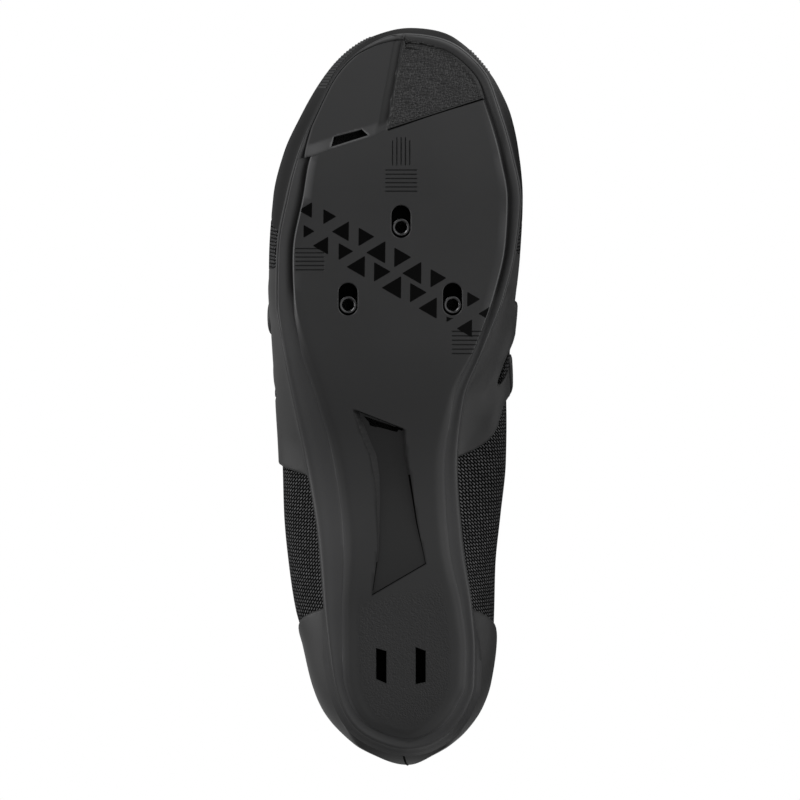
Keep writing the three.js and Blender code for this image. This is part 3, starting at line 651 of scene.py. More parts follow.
def past_joint(u, v):
    """How far in front of the toe joint each place lies, in millimetres."""
    line = np.array(plan(TOE_JOINT))
    return (u - np.interp(v, line[:, 1], line[:, 0])) * JOINT_SLANT


def across_valley(u, v):
    """0 at the valley's lateral border and 1 where the tread starts."""
    (u0, v0), (u1, v1) = VALLEY
    middle = v0 + (v1 - v0) * (u - u0) / (u1 - u0)
    return (v - middle) / VALLEY_WIDTH + 0.5


def toe_relief(u, v, height):
    past = past_joint(u, v)
    share = across_valley(u, v)
    tread = smooth_step(share, *TREAD_BORDER)
    facet = FACET_RISE * smooth_step(past, 0, FACET_SLOPE)
    valley = VALLEY_DEPTH * smooth_step(share, 0, TREAD_BORDER[0]) * smooth_step(past, *VALLEY_START)
    floor = (facet + valley) * (1 - tread) + TREAD_SINK * tread
    return np.maximum(height, floor)


def soft_rim_rows(along, side):
    """The toe pad's edge: sharp at the joint, and on the medial side softer towards the tip."""
    medial = 1 if side == "medial" else 0
    softness = medial * TOE_SOFTNESS * float(smooth_step(along, *TOE_SOFT_START))
    return section_rows(along, side, softness, on_toe=True)


def stadium(u, v, width, length, steps=24):
    radius = width / 2
    reach = max(length - width, 1e-3)
    angles = np.linspace(-math.pi / 2, math.pi / 2, steps)
    front = [(u + reach + radius * math.cos(a), v + radius * math.sin(a)) for a in angles]
    back = [(u - radius * math.cos(a), v - radius * math.sin(a)) for a in angles]
    return front + back


NUTS = [(NUT_REAR + NUT_BASE, 0.4), (NUT_REAR, 0.1 + NUT_SPREAD / 2), (NUT_REAR, 0.1 - NUT_SPREAD / 2)]
SLOT_WIDTH = NUT_DIAMETER + 2 * CLEARANCE
SLOT_LENGTH = NUT_REAR_SPACE + NUT_DIAMETER + NUT_TRAVEL + CLEARANCE


def slot_outline(u, v):
    start = u - NUT_DIAMETER / 2 - NUT_REAR_SPACE + SLOT_WIDTH / 2
    return stadium(start, v, SLOT_WIDTH, SLOT_LENGTH)


def convex(points):
    points = sorted(points)

    def turn(o, a, b):
        return (a[0] - o[0]) * (b[1] - o[1]) - (a[1] - o[1]) * (b[0] - o[0])

    def half(row):
        chain = []
        for point in row:
            while len(chain) > 1 and turn(chain[-2], chain[-1], point) <= 1e-6:
                chain.pop()
            chain.append(point)
        return chain[:-1]

    return half(points) + half(points[::-1])


def nut_plate_outline(margin, stretch=0.0, steps=40):
    points = []
    for u, v in NUTS:
        for a in np.arange(steps) * 2 * math.pi / steps:
            place = (u + margin * math.cos(a), v + margin * math.sin(a))
            points += [place, (place[0] + stretch, place[1])]
    return convex(points)


# Moulded hash marks: first line's ends, the step from one line to the next, and how many
HASH_MARKS = [
    ((231.9, -2.9), (241.3, -2.9), (0.0, 1.66), 5),
    ((221.8, -5.6), (221.8, 6.5), (1.64, 0.0), 6),
    ((191.4, -40.4), (191.4, -29.5), (1.64, 0.0), 6),
    ((159.0, 20.2), (159.0, 28.6), (1.72, 0.0), 6),
]
HASH_WIDTH = 0.44
HASH_DEPTH = 0.42
# In one row each line is longer than the last, and in another three lines reach further
HASH_GROWTH = {3: 0.85}
LONG_HASHES = {(0, 1), (0, 2), (0, 3)}
LONG_HASH_REACH = 1.2
GROOVE_BASE = -0.15
GROOVE_TAPER = 0.3


def groove(name, start, end, width, depth):
    """A ridge-shaped cutter along a straight line under the flat plate."""
    start, end = Vector(start), Vector(end)
    along = (end - start).normalized()
    side = Vector((-along.y, along.x)) * width
    taper = along * GROOVE_TAPER
    rings = []
    for place, share in ((start - taper, 0.0), (start, 1.0), (end, 1.0), (end + taper, 0.0)):
        base = float(underside_height(place.x))
        rings.append([
            (place.x - side.x, place.y - side.y, base + GROOVE_BASE),
            (place.x, place.y, base + max(depth * share, GROOVE_BASE + 0.01)),
            (place.x + side.x, place.y + side.y, base + GROOVE_BASE),
        ])
    return loft(name, np.array(rings, float))


def hash_cutters():
    lines = []
    for number, (start, end, step, count) in enumerate(HASH_MARKS):
        for k in range(count):
            shift = np.array(step) * k
            wider = HASH_GROWTH.get(number, 0) * k
            further = LONG_HASH_REACH if (number, k) in LONG_HASHES else 0
            a, b = np.array(start) + shift, np.array(end) + shift + (further, wider)
            lines.append(groove("hash", a, b, HASH_WIDTH, HASH_DEPTH))
    return lines


# The groove along the medial part of the toe joint
JOINT_GROOVE = ((245.6, -4.6), (257.5, 32.2))
JOINT_GROOVE_WIDTH, JOINT_GROOVE_DEPTH = 0.62, 1.6
JOINT_GAP = 0.02


def facet_height(u, v):
    return underside_height(u) + FACET_RISE * smooth_step(past_joint(u, v), 0, FACET_SLOPE)


# The arch channel: its two sides from the heel end to the vent, and its depth at both ends
CHANNEL_LEFT = [
    (65.5, -10.9), (72.3, -9.9), (82, -8.6), (91.3, -8.7), (103.4, -9.1), (111.4, -9.9), (119.2, -11.4),
    (125.9, -14.2), (137.4, -18.3),
]
CHANNEL_RIGHT = [
    (77.7, 10.0), (82, 9.2), (87, 8.1), (93.6, 6.7), (104.6, 5.1), (113.3, 3.8), (119.1, 2.7), (124, 2.3),
    (129.5, 1.9),
]
CHANNEL_SHALLOW = 0.55
CHANNEL_DEEP = 2.3
LEFT_WALL = 2.6
RIGHT_WALL = 1.0
CHANNEL_STEPS = 60
CHANNEL_LIP = (0.4, -0.9)
CHANNEL_END_LIFT = -0.8


EDGE_POINTS = 10


def divided(outline, count):
    """A closed outline with the same number of points along each of its straight edges."""
    outline = np.asarray(outline, float)
    share = np.arange(count)[:, None] / count
    edges = [a + (b - a) * share for a, b in zip(outline, np.roll(outline, -1, axis=0))]
    return np.concatenate(edges)


def mouth(name, outline, height_at, bevel, deep):
    """A post that cuts an opening with a bevelled edge into a curved surface."""
    corners = grown(outline, 0)
    rings = []
    for wider, low in ((bevel + 1, -1), (0, bevel), (0, deep)):
        places = divided(grown(corners, wider), EDGE_POINTS)
        rings.append(np.column_stack([places, height_at(places[:, 0], places[:, 1]) + low]))
    return loft(name, np.array(rings))


def evenly(line, count):
    """An open line with a number of points, spread evenly over its corners."""
    line = np.array(line)
    steps = np.linspace(0, len(line) - 1, count)
    return np.column_stack([np.interp(steps, np.arange(len(line)), column) for column in line.T])


def channel_ring(a, b, depth):
    """The channel's section from the left edge to the right one, with a lip outside the plate."""
    across = (b - a) / np.linalg.norm(b - a)
    share = max(depth, 0) / CHANNEL_DEEP
    low, high = a + across * LEFT_WALL * share ** 1.5, b - across * RIGHT_WALL * share
    reach, lift = CHANNEL_LIP
    places = [(a - across * reach, lift), (a, 0.0)]
    places += [(low + (high - low) * t, depth) for t in np.linspace(0, 1, 7)]
    places += [(b, 0.0), (b + across * reach, lift)]
    return [(p[0], p[1], float(underside_height(p[0])) + height) for p, height in places]


def make_channel():
    left, right = evenly(CHANNEL_LEFT, CHANNEL_STEPS), evenly(CHANNEL_RIGHT, CHANNEL_STEPS)
    share = np.linspace(0, 1, CHANNEL_STEPS)
    depths = CHANNEL_SHALLOW + (CHANNEL_DEEP - CHANNEL_SHALLOW) * smooth_step(share, 0.1, 0.85)
    back = (left[0] - left[1]) / np.linalg.norm(left[0] - left[1])
    front = left[-1] - left[-2]
    rings = []
    for shift, depth in ((0.7, CHANNEL_END_LIFT), (0, 0.02), (-0.45, depths[0])):
        rings.append(channel_ring(left[0] + back * shift, right[0] + back * shift, depth))
    for a, b, depth in zip(left[1:], right[1:], depths[1:]):
        rings.append(channel_ring(a, b, depth))
    rings.append(channel_ring(left[-1] + front * 0.5, right[-1] + front * 0.5, CHANNEL_END_LIFT))
    return loft("channel", np.array(rings))


# Cutters' levels: heights from the sole up, and how much wider the opening is there
DEEP = 40
SLOT_LEVELS = [(-0.6, 0.9), (0.35, 0), (DEEP, 0)]
POCKET_LEVELS = [(PLATE_UNDER_NUTS, 0), (DEEP, 0)]
HEEL_SLOT_LEVELS = [(-1, 0.4), (0.9, 0), (PLATE_STEP + HEEL_SLOT_DEPTH, 0)]
TOE_VENT_BEVEL, TOE_VENT_DEPTH = 0.42, 14
ARCH_VENT_DEPTH = 12


AHEAD_OF_TOE = [(1.2, 0.6), (1.2, -0.6)]
RIGHT_THROUGH = [(-160, 0), (160, 0)]
TOE_PAD_START = 0.79


def toe_region(gap):
    """Everything in front of the toe joint."""
    line = [(along + gap / SHOE_LENGTH, across) for along, across in TOE_JOINT]
    return prism("toe_side", plan(line + AHEAD_OF_TOE), RIGHT_THROUGH)


def joint_groove():
    return groove("joint_groove", *JOINT_GROOVE, JOINT_GROOVE_WIDTH, JOINT_GROOVE_DEPTH)


def sole_openings():
    """The plate's cutters, in the order in which they are cut."""
    pocket = nut_plate_outline(NUT_PLATE_MARGIN + 2 * CLEARANCE, NUT_TRAVEL)
    slots = [prism("slot", slot_outline(u, v), SLOT_LEVELS) for u, v in NUTS]
    yield slots + [prism("pocket", pocket, POCKET_LEVELS)]
    yield [make_channel()]
    vent_top = float(underside_height(ARCH_VENT[0][0] * SHOE_LENGTH)) + ARCH_VENT_DEPTH
    yield [prism("vent", plan(ARCH_VENT), [(-1, 0), (vent_top, 0)])]
    yield [prism("heel_slot", plan(edge), HEEL_SLOT_LEVELS) for edge in HEEL_SLOTS]
    yield [joined(hash_cutters())]


def make_sole():
    body = loft("outsole_skin", sole_rings(cosine_steps(SOLE_SECTIONS), rim_rows))
    toe_steps = cosine_steps(TOE_SECTIONS, TOE_PAD_START, 1.0)
    toe = loft("toe_pad_skin", sole_rings(toe_steps, soft_rim_rows, TOE_ROWS, toe_relief))
    boolean(toe, [form("seat", -OVERLAY)])
    boolean(toe, [toe_region(JOINT_GAP)], "INTERSECT")
    boolean(toe, [mouth("vent", plan(TOE_VENT), facet_height, TOE_VENT_BEVEL, TOE_VENT_DEPTH)])
    boolean(toe, [joint_groove()])
    boolean(body, [form("seat", -OVERLAY), toe_region(-JOINT_GAP)])
    boolean(body, [joint_groove()])
    for cutters in sole_openings():
        boolean(body, cutters)
    return body, toe


# Panels cut from the last's own skin
def smooth_outline(points, steps=8):
    return closed_curve(np.array([points], float), steps)[0]


def inside(places, outline):
    """How far inside a closed outline each place lies, in millimetres, and below zero outside it."""
    start = outline
    end = np.roll(outline, -1, axis=0)
    edge = end - start
    size = np.maximum((edge ** 2).sum(axis=1), 1e-12)
    nearest = np.full(len(places), np.inf)
    crossings = np.zeros(len(places), int)
    for a, b, e, s in zip(start, end, edge, size):
        t = np.clip(((places - a) @ e) / s, 0, 1)
        gap = places - a - t[:, None] * e
        nearest = np.minimum(nearest, (gap ** 2).sum(axis=1))
        spans = (a[1] > places[:, 1]) != (b[1] > places[:, 1])
        with np.errstate(divide="ignore", invalid="ignore"):
            cross = (b[0] - a[0]) * (places[:, 1] - a[1]) / (b[1] - a[1]) + a[0]
        crossings += spans & (places[:, 0] < cross)
    sign = np.where(crossings % 2 == 1, 1, -1)
    return sign * np.sqrt(nearest)


class Skin:
    """The last's skin as triangles, which a field of distances cuts and splits."""

    def __init__(self):
        count, around = RINGS.shape[:2]
        self.points = RINGS.reshape(-1, 3).copy()
        self.normals = NORMALS.reshape(-1, 3).copy()
        over_ridge = np.abs(ARC - ARC[:, [5 * SPAN_STEPS]])
        self.cloth = np.stack([self.points[:, 0], over_ridge.reshape(-1)], axis=1)
        quads = np.array(grid_faces(count, around))
        quads = np.where(quads < around, 0, quads)
        quads = np.where(quads >= (count - 1) * around, (count - 1) * around, quads)
        faces = np.concatenate([quads[:, [0, 1, 2]], quads[:, [0, 2, 3]]])
        repeated = (faces == np.roll(faces, 1, axis=1)).any(axis=1)
        self.faces = faces[~repeated]

    def side_view(self):
        return self.points[:, [0, 2]]

    def plan_view(self):
        return self.points[:, [0, 1]]

    def between(self, values, i, j, t):
        return values[i] + t * (values[j] - values[i])

    def split(self, field, level):
        """Splits the triangles where the field passes the level, and gives the field at the new points."""
        field = np.where(np.abs(field - level) < 0.02, level + 0.02, field)
        above = field > level
        flags = above[self.faces]
        mixed = flags.any(axis=1) & ~flags.all(axis=1)
        whole, cut, flags = self.faces[~mixed], self.faces[mixed], flags[mixed]
        alone_above = flags.sum(axis=1) == 1
        alone = np.where(alone_above, flags.argmax(axis=1), (~flags).argmax(axis=1))
        rows = np.arange(len(cut))
        a, b, c = (cut[rows, (alone + k) % 3] for k in range(3))
        pairs = np.sort(np.concatenate([np.stack([a, b], 1), np.stack([a, c], 1)]), axis=1)
        edges, where = np.unique(pairs, axis=0, return_inverse=True)
        where = where.reshape(-1)
        i, j = edges.T
        t = ((level - field[i]) / (field[j] - field[i]))[:, None]
        first = len(self.points)
        normals = self.between(self.normals, i, j, t)
        normals /= np.linalg.norm(normals, axis=1, keepdims=True)
        self.normals = np.concatenate([self.normals, normals])
        self.points = np.concatenate([self.points, self.between(self.points, i, j, t)])
        self.cloth = np.concatenate([self.cloth, self.between(self.cloth, i, j, t)])
        ab = first + where[:len(cut)]
        ac = first + where[len(cut):]
        parts = [whole, np.stack([a, ab, ac], 1), np.stack([ab, b, c], 1), np.stack([ab, c, ac], 1)]
        self.faces = np.concatenate(parts)
        return np.concatenate([field, np.full(len(edges), level)])

    def keep(self, field):
        """Keeps the triangles where the field is above zero."""
        kept = self.faces[field[self.faces].mean(axis=1) > 0]
        used, faces = np.unique(kept, return_inverse=True)
        self.faces = faces.reshape(-1, 3)
        self.points, self.normals, self.cloth = self.points[used], self.normals[used], self.cloth[used]
        return field[used]

    def rims(self):
        """The closed loops of points round the skin's edge."""
        pairs = np.concatenate([self.faces[:, [0, 1]], self.faces[:, [1, 2]], self.faces[:, [2, 0]]])
        ordered = np.sort(pairs, axis=1)
        _, first, count = np.unique(ordered, axis=0, return_index=True, return_counts=True)
        follow = {int(a): int(b) for a, b in pairs[first[count == 1]]}
        loops = []
        while follow:
            start, point = next(iter(follow.items()))
            loop = [start]
            del follow[start]
            while point != start and point in follow:
                loop.append(point)
                point = follow.pop(point)
            loops.append(loop)
        return loops


EDGE_LEVELS = (0.13, 0.5, 1.0)
RELIEF_FADE = 3


def panel(name, field_of, inner, outer, rounding=0.8, relief=None):
    """A closed panel between two growths of the last, with a rounded edge. Its rims come with it."""
    skin = Skin()
    field = skin.keep(skin.split(field_of(skin), 0.0))
    for level in EDGE_LEVELS:
        field = skin.split(field, level * rounding)
    share = np.clip(field / rounding, 0, 1)
    rise = np.sqrt(np.maximum(0, 1 - (1 - share) ** 2))
    thickness = np.full(len(field), outer - inner)
    if relief is not None:
        thickness = thickness + relief(skin) * smooth_step(field, 0, RELIEF_FADE)
    top = skin.points + skin.normals * (inner + thickness * rise)[:, None]
    under = skin.points + skin.normals * inner
    edge = field <= 1e-9
    count = len(top)
    number = np.where(edge, np.arange(count), count + np.cumsum(~edge) - 1)
    points = np.concatenate([top, under[~edge]])
    faces = np.concatenate([skin.faces, number[skin.faces][:, ::-1]])
    piece = make_object(name, points, faces.tolist())
    cloth = np.concatenate([skin.cloth, skin.cloth[~edge]])
    store(piece, "cloth", np.column_stack([cloth, np.zeros(len(cloth))]))
    loops = [(top[loop], skin.normals[loop]) for loop in skin.rims()]
    return piece, loops


def side_outline(shares, height=INSTEP_HEIGHT):
    return smooth_outline([(along * SHOE_LENGTH, up * height) for along, up in shares])


def over_plate(points):
    """How far above the plate's flat each point lies, in millimetres."""
    return points[:, 2] - underside_height(points[:, 0])


def over_rim(points):
    """How far above the sole's rim each point lies, in millimetres."""
    return over_plate(points) - RIM_HEIGHT


def collar_field(skin):
    return -inside(skin.side_view(), side_outline(COLLAR, HEEL_HEIGHT))


# Below this height the throat cuts nothing
THROAT_LOW = 0.4 * INSTEP_HEIGHT
FAR_INSIDE = 50.0


def throat_field(skin):
    over = inside(skin.plan_view(), smooth_outline(plan(THROAT)))
    return np.where(skin.points[:, 2] > THROAT_LOW, -over, FAR_INSIDE)


# How far the panels reach down behind the sole's rim
OVERLAY_LAP = 4.2
BOOTIE_LAP = 5


def overlay_field(shares, side=0, slit=None):
    outline = side_outline(shares)
    gap = side_outline(slit) if slit else None

    def field(skin):
        value = inside(skin.side_view(), outline)
        if gap is not None:
            value = np.minimum(value, -inside(skin.side_view(), gap))
        if side:
            value = np.minimum(value, side * skin.points[:, 1])
        value = np.minimum(value, over_rim(skin.points) + OVERLAY_LAP)
        return np.minimum(value, np.minimum(collar_field(skin), throat_field(skin)))

    return field


def strap_field(shares):
    outline = side_outline(shares)
    return lambda skin: inside(skin.side_view(), outline)


def bootie_field(skin):
    value = np.minimum(collar_field(skin), throat_field(skin))
    return np.minimum(value, over_rim(skin.points) + BOOTIE_LAP)


def window_relief(skin):
    """The woven windows stand out between the wings and the toe cap, and so does the weave in the slits."""
    side = skin.points[:, 1]
    raised = np.zeros(len(side))
    for shares, sign in ((MEDIAL_WINDOW, 1), (LATERAL_WINDOW, -1), (MEDIAL_SLIT, 1), (LATERAL_SLIT, -1)):
        depth = inside(skin.side_view(), side_outline(shares))
        raised = np.maximum(raised, np.where(side * sign > 0, smooth_step(depth, -0.6, 0.8), 0))
    return -BOOTIE * raised * smooth_step(over_rim(skin.points), 0.2, 1.2)


def tongue_field(skin):
    wider = [(a + 0.02 if a > 0.6 else a, c + (0.1 if c > 0.02 else -0.1)) for a, c in THROAT]
    value = inside(skin.plan_view(), smooth_outline(plan(wider)))
    crown = side_outline([(0.3, 0.75), (0.8, 0.42), (0.8, 2), (0.3, 2)])
    return np.minimum(value, inside(skin.side_view(), crown))


# Soft folds seen from below: two ends, height and half width, all in millimetres
MEDIAL_FOLDS = [
    ((184, 42), (168, 35.5), -1.5, 1.7), ((176, 45.5), (153, 39.5), 1.5, 1.4),
    ((164, 37), (149, 27.5), 0.5, 2.0), ((156, 39), (143, 33.5), -0.5, 2.0),
    ((146, 41), (131, 35), 0.45, 2.4), ((133, 31), (122, 25), -0.25, 2.6),
]
LATERAL_FOLDS = [
    ((186, -50), (172, -47), 0.45, 2.2), ((172, -50), (160, -47), -0.4, 2.0),
    ((152, -47), (128, -41), 0.35, 3.0),
]
COUNTER_FOLDS = [((40, 38), (14, 24), -0.1, 3.5), ((44, -36), (16, -25), 0.25, 3.5)]
# Folds run out over their ends, in shares of their length, and above a height
FOLD_START, FOLD_END = (-0.35, 0.25), (0.75, 1.35)
FOLD_TOP, FOLD_FADE = 45, 12


def folds(rows):
    def relief(skin):
        places = skin.plan_view()
        total = np.zeros(len(places))
        for start, end, height, width in rows:
            start, end = np.array(start, float), np.array(end, float)
            edge = end - start
            t = ((places - start) @ edge) / (edge @ edge)
            gap = np.linalg.norm(places - start - np.clip(t, 0, 1)[:, None] * edge, axis=1)
            fade = smooth_step(t, *FOLD_START) * (1 - smooth_step(t, *FOLD_END))
            total += height * np.exp(-(gap / width) ** 2) * fade
        return total * np.exp(-np.maximum(skin.points[:, 2] - FOLD_TOP, 0) / FOLD_FADE)

    return relief


# The collar's binding, the ribs and the seam lie on the skin
def tube(name, path, normals, radius, squash=1.0, closed=True, sides=12):
    """A round or flattened cord along a path, with its flat side to the skin."""
    path, normals = np.asarray(path, float), np.asarray(normals, float)
    if closed:
        along = np.roll(path, -1, axis=0) - np.roll(path, 1, axis=0)
    else:
        along = np.gradient(path, axis=0)
    along /= np.linalg.norm(along, axis=1, keepdims=True)
    across = np.cross(along, normals)
    across /= np.linalg.norm(across, axis=1, keepdims=True)
    up = np.cross(across, along)
    angles = np.arange(sides) * 2 * math.pi / sides
    rings = np.array([
        path + radius * (math.cos(a) * across + squash * math.sin(a) * up) for a in angles
    ]).transpose(1, 0, 2)
    count = len(path)
    if closed:
        rings = np.concatenate([rings, rings[:1]])
        faces = grid_faces(count + 1, sides)
        piece = make_object(name, rings.reshape(-1, 3), faces)
        weld(piece)
        return piece
    return loft(name, rings)


def evened(path, normals, spacing, closed=True, softness=3):
    """A path resampled at an even spacing and smoothed a little."""
    if closed:
        path, normals = np.vstack([path, path[:1]]), np.vstack([normals, normals[:1]])
    reach = np.concatenate([[0], np.cumsum(np.linalg.norm(np.diff(path, axis=0), axis=1))])
    count = max(int(reach[-1] / spacing), 8)
    at = np.linspace(0, reach[-1], count, endpoint=not closed)
    path = np.column_stack([np.interp(at, reach, path[:, k]) for k in range(3)])
    normals = np.column_stack([np.interp(at, reach, normals[:, k]) for k in range(3)])
    for _ in range(softness if closed else 0):
        path = (np.roll(path, 1, axis=0) + 2 * path + np.roll(path, -1, axis=0)) / 4
        normals = (np.roll(normals, 1, axis=0) + 2 * normals + np.roll(normals, -1, axis=0)) / 4
    return path, normals


def on_side(u, height, side):
    """The skin's point and normal at a place along the shoe and a height, on one side."""
    position = np.interp(u, RINGS[:, 0, 0], np.arange(len(RINGS)))
    i = min(int(position), len(RINGS) - 2)
    t = position - i
    ring = RINGS[i] * (1 - t) + RINGS[i + 1] * t
    normal = NORMALS[i] * (1 - t) + NORMALS[i + 1] * t
    steps = SPAN_STEPS
    span = np.arange(steps, 5 * steps + 1) if side > 0 else np.arange(9 * steps, 5 * steps - 1, -1)
    where = np.interp(height, np.maximum.accumulate(ring[span, 2]), span)
    k = int(np.floor(where))
    f = where - k
    after = min(k + 1, len(ring) - 1)
    point = ring[k] * (1 - f) + ring[after] * f
    out = normal[k] * (1 - f) + normal[after] * f
    return point, out / np.linalg.norm(out)


# Cleat hardware
BORE_THREADS = 5
THREAD_DEPTH, THREAD_CREST = 0.3, 0.02


def lathe(name, u, v, profile, steps=72):
    """A closed ring turned about an upright axis: the profile's rows are (radius, height)."""
    radius, height = np.array(profile, float).T
    rings = []
    for a in np.arange(steps) * 2 * math.pi / steps:
        rings.append(np.column_stack([u + radius * math.cos(a), v + radius * math.sin(a), height]))
    rings = np.array(rings + rings[:1])
    piece = make_object(name, rings.reshape(-1, 3), grid_faces(steps + 1, len(profile)))
    weld(piece)
    return piece


NUT_ROUNDING = ((0, 0.35), (0.07, 0.17), (0.18, 0.06), (0.34, 0))
NUT_DISH = ((0.78, 0), (0.5, 0.12), (0.24, 0.34), (0.07, 0.6), (0, 0.8))


def nut_profile():
    outer, bore = NUT_DIAMETER / 2, NUT_BORE / 2
    top = PLATE_UNDER_NUTS + CLEARANCE + NUT_PLATE_THICKNESS
    threads = NUT_RECESS + NUT_DISH[-1][1]
    profile = [(outer, top)]
    profile += [(outer - inset, NUT_RECESS + drop) for inset, drop in NUT_ROUNDING]
    profile += [(bore + inset, NUT_RECESS + drop) for inset, drop in NUT_DISH]
    pitch = (top - threads) / BORE_THREADS
    crest, root = bore + THREAD_CREST, bore + THREAD_DEPTH
    for k in range(BORE_THREADS):
        start = threads + pitch * k
        profile += [(crest, start + 0.05), (root, start + pitch * 0.5), (crest, start + pitch * 0.95)]
    return profile + [(bore, top)]


NUT_PLATE_BEVEL = 0.3
BORE_RADIUS = 2.6
BORE_STEPS = 39


def make_nut_plate():
    low = PLATE_UNDER_NUTS + CLEARANCE
    high, bevel = low + NUT_PLATE_THICKNESS, NUT_PLATE_BEVEL
    levels = [(low, -bevel), (low + bevel, 0), (high - bevel, 0), (high, -bevel)]
    plate = prism("cleat_nut_plate_skin", nut_plate_outline(NUT_PLATE_MARGIN), levels)
    angles = np.linspace(0, 2 * math.pi, BORE_STEPS + 1)[:-1]
    bores = []
    for u, v in NUTS:
        circle = [(u + BORE_RADIUS * math.cos(a), v + BORE_RADIUS * math.sin(a)) for a in angles]
        bores.append(prism("bore", circle, [(low - 2, 0), (low + 6, 0)]))
    boolean(plate, bores)
    rings = [lathe("nut", u, v, nut_profile()) for u, v in NUTS]
    for ring in rings:
        ring.data.polygons.foreach_set("material_index", [1] * len(ring.data.polygons))
    return joined([plate] + rings)


# A plain mosaic of triangles printed on the forefoot plate, fading towards its ends
PRINT_START = (213.5, -41.0)
PRINT_END = (169.5, 35.5)
PRINT_TALL = 17.5
PRINT_CELLS = 11
PRINT_THICKNESS = 0.06
PRINT_CORNER = 0.5
# The triangles' sizes: at the ends, how much more in the middle, and how much less every second one is
PRINT_SMALLEST, PRINT_GROWTH, PRINT_SMALLER = 0.62, 0.34, 0.12
PRINT_HALF_WIDTH, PRINT_HALF_HEIGHT = 0.56, 0.23


def print_triangles():
    start, end = np.array(PRINT_START), np.array(PRINT_END)
    length = np.linalg.norm(end - start)
    along = (end - start) / length
    up = np.array([-along[1], along[0]])
    cell = length / PRINT_CELLS
    triangles = []
    for row in range(2):
        for k in range(PRINT_CELLS):
            odd = (k + row) % 2
            share = (k + 0.5) / PRINT_CELLS
            size = PRINT_SMALLEST + PRINT_GROWTH * math.sin(math.pi * share) - PRINT_SMALLER * odd
            middle = start + along * cell * (k + 0.5 + 0.5 * row) + up * PRINT_TALL * (row - 0.5) / 2
            side = along * cell * PRINT_HALF_WIDTH * size
            rise = up * PRINT_TALL * PRINT_HALF_HEIGHT * size * (1 if odd else -1)
            triangles.append([middle - side - rise, middle + side - rise, middle + rise])
    return triangles


def make_print(sole_plan):
    levels = [(-PRINT_THICKNESS, -0.02), (0.25, 0)]
    films = [prism("film", smooth_corners(np.array(corners), PRINT_CORNER), levels)
             for corners in print_triangles()]
    films = joined(films)
    boolean(films, [prism("slot", slot_outline(u, v), [(-2, 1.0), (5, 1.0)]) for u, v in NUTS])
    boolean(films, [prism("edge", sole_plan, [(-2, 0), (5, 0)])], "INTERSECT")
    return films


def smooth_corners(corners, radius, steps=5):
    """A polygon with its corners rounded."""
    outline = []
    count = len(corners)
    for k in range(count):
        before, here, after = corners[k - 1], corners[k], corners[(k + 1) % count]
        a = here + (before - here) / np.linalg.norm(before - here) * radius
        b = here + (after - here) / np.linalg.norm(after - here) * radius
        for t in np.linspace(0, 1, steps):
            outline.append((1 - t) ** 2 * a + 2 * t * (1 - t) * here + t * t * b)
    return np.array(outline)


def plate_plan(inset):
    """The plate's outline, moved in from its edge."""
    sides = {}
    for side in ("lateral", "medial"):
        sides[side] = []
        for along in np.linspace(0.5, 0.8, 90):
            rim = float(sole_shape[side + "_rim"](along)) * BALL_WIDTH
            sides[side].append(sole_point(along, side, rim + inset))
    return np.array(sides["lateral"] + sides["medial"][::-1])


# Fine ribs round the toe bumper
RIB_PITCH = 1.3
RIB_RADIUS = 0.42
RIB_FOOT, RIB_TOP, RIB_POINTS = 9.2, 16.0, 8
FLATNESS = 0.8
TOE_END = 284.5
# Which side each stretch of ribs is on, and from where to where it goes
RIB_STRETCHES = ((-1, 262.0, 281.5), (1, 268.0, 277.0))


def next_rib(u, side, last):
    """The place one pitch further round the toe."""
    height = RIB_FOOT + float(underside_height(u))
    here, _ = on_side(u, height, side)
    step = 0.2
    while u + step < last + 1:
        there, _ = on_side(min(u + step, TOE_END), height, side)
        if np.linalg.norm(there - here) >= RIB_PITCH:
            break
        step += 0.1
    return u + step


def make_toe_ribs():
    ribs = []
    for side, first, last in RIB_STRETCHES:
        u = first
        while u < last:
            heights = np.linspace(RIB_FOOT, RIB_TOP, RIB_POINTS) + float(underside_height(u))
            path, normals = zip(*(on_side(u, height, side) for height in heights))
            ribs.append(tube("rib", path, normals, RIB_RADIUS, FLATNESS, closed=False, sides=8))
            u = next_rib(u, side, last)
    return joined(ribs)


HEEL_RINGS = 44
SEAM_TOP = 0.7 * INSTEP_HEIGHT
SEAM_RADIUS = 0.4


def make_heel_seam():
    """The seam up the middle of the heel's back."""
    ridge = 5 * SPAN_STEPS
    rows = [(RINGS[i, 0], NORMALS[i, 0]) for i in range(HEEL_RINGS, 0, -1)]
    rows += [(RINGS[i, ridge], NORMALS[i, ridge]) for i in range(HEEL_RINGS)]
    low = RIM_HEIGHT + HEEL_RISE + 1
    rows = [row for row in rows if low < row[0][2] < SEAM_TOP]
    path, normals = (np.array(column) for column in zip(*rows))
    path, normals = evened(path, normals, 1.0, closed=False)
    return tube("heel_seam", path, normals, SEAM_RADIUS, FLATNESS, closed=False, sides=10)


# Pieces
def place_piece(piece, body, slot, material, replaced=(), angle=40):
    mesh = piece.data
    materials = material if isinstance(material, list) else [material]
    painted = material_indices(mesh)
    mesh.materials.clear()
    for finish in materials:
        mesh.materials.append(finish)
    mesh.polygons.foreach_set("material_index", np.minimum(painted, len(materials) - 1))
    mesh.polygons.foreach_set("use_smooth", [True] * len(mesh.polygons))
    mesh.set_sharp_from_angle(angle=math.radians(angle))
    count = len(mesh.vertices)
    places = np.zeros(count * 3)
    mesh.vertices.foreach_get("co", places)
    shoe = to_shoe(places.reshape(-1, 3))
    store(piece, "shoe", shoe)
    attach(piece, body)
    if replaced:
        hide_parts(*replaced)
    return shoe


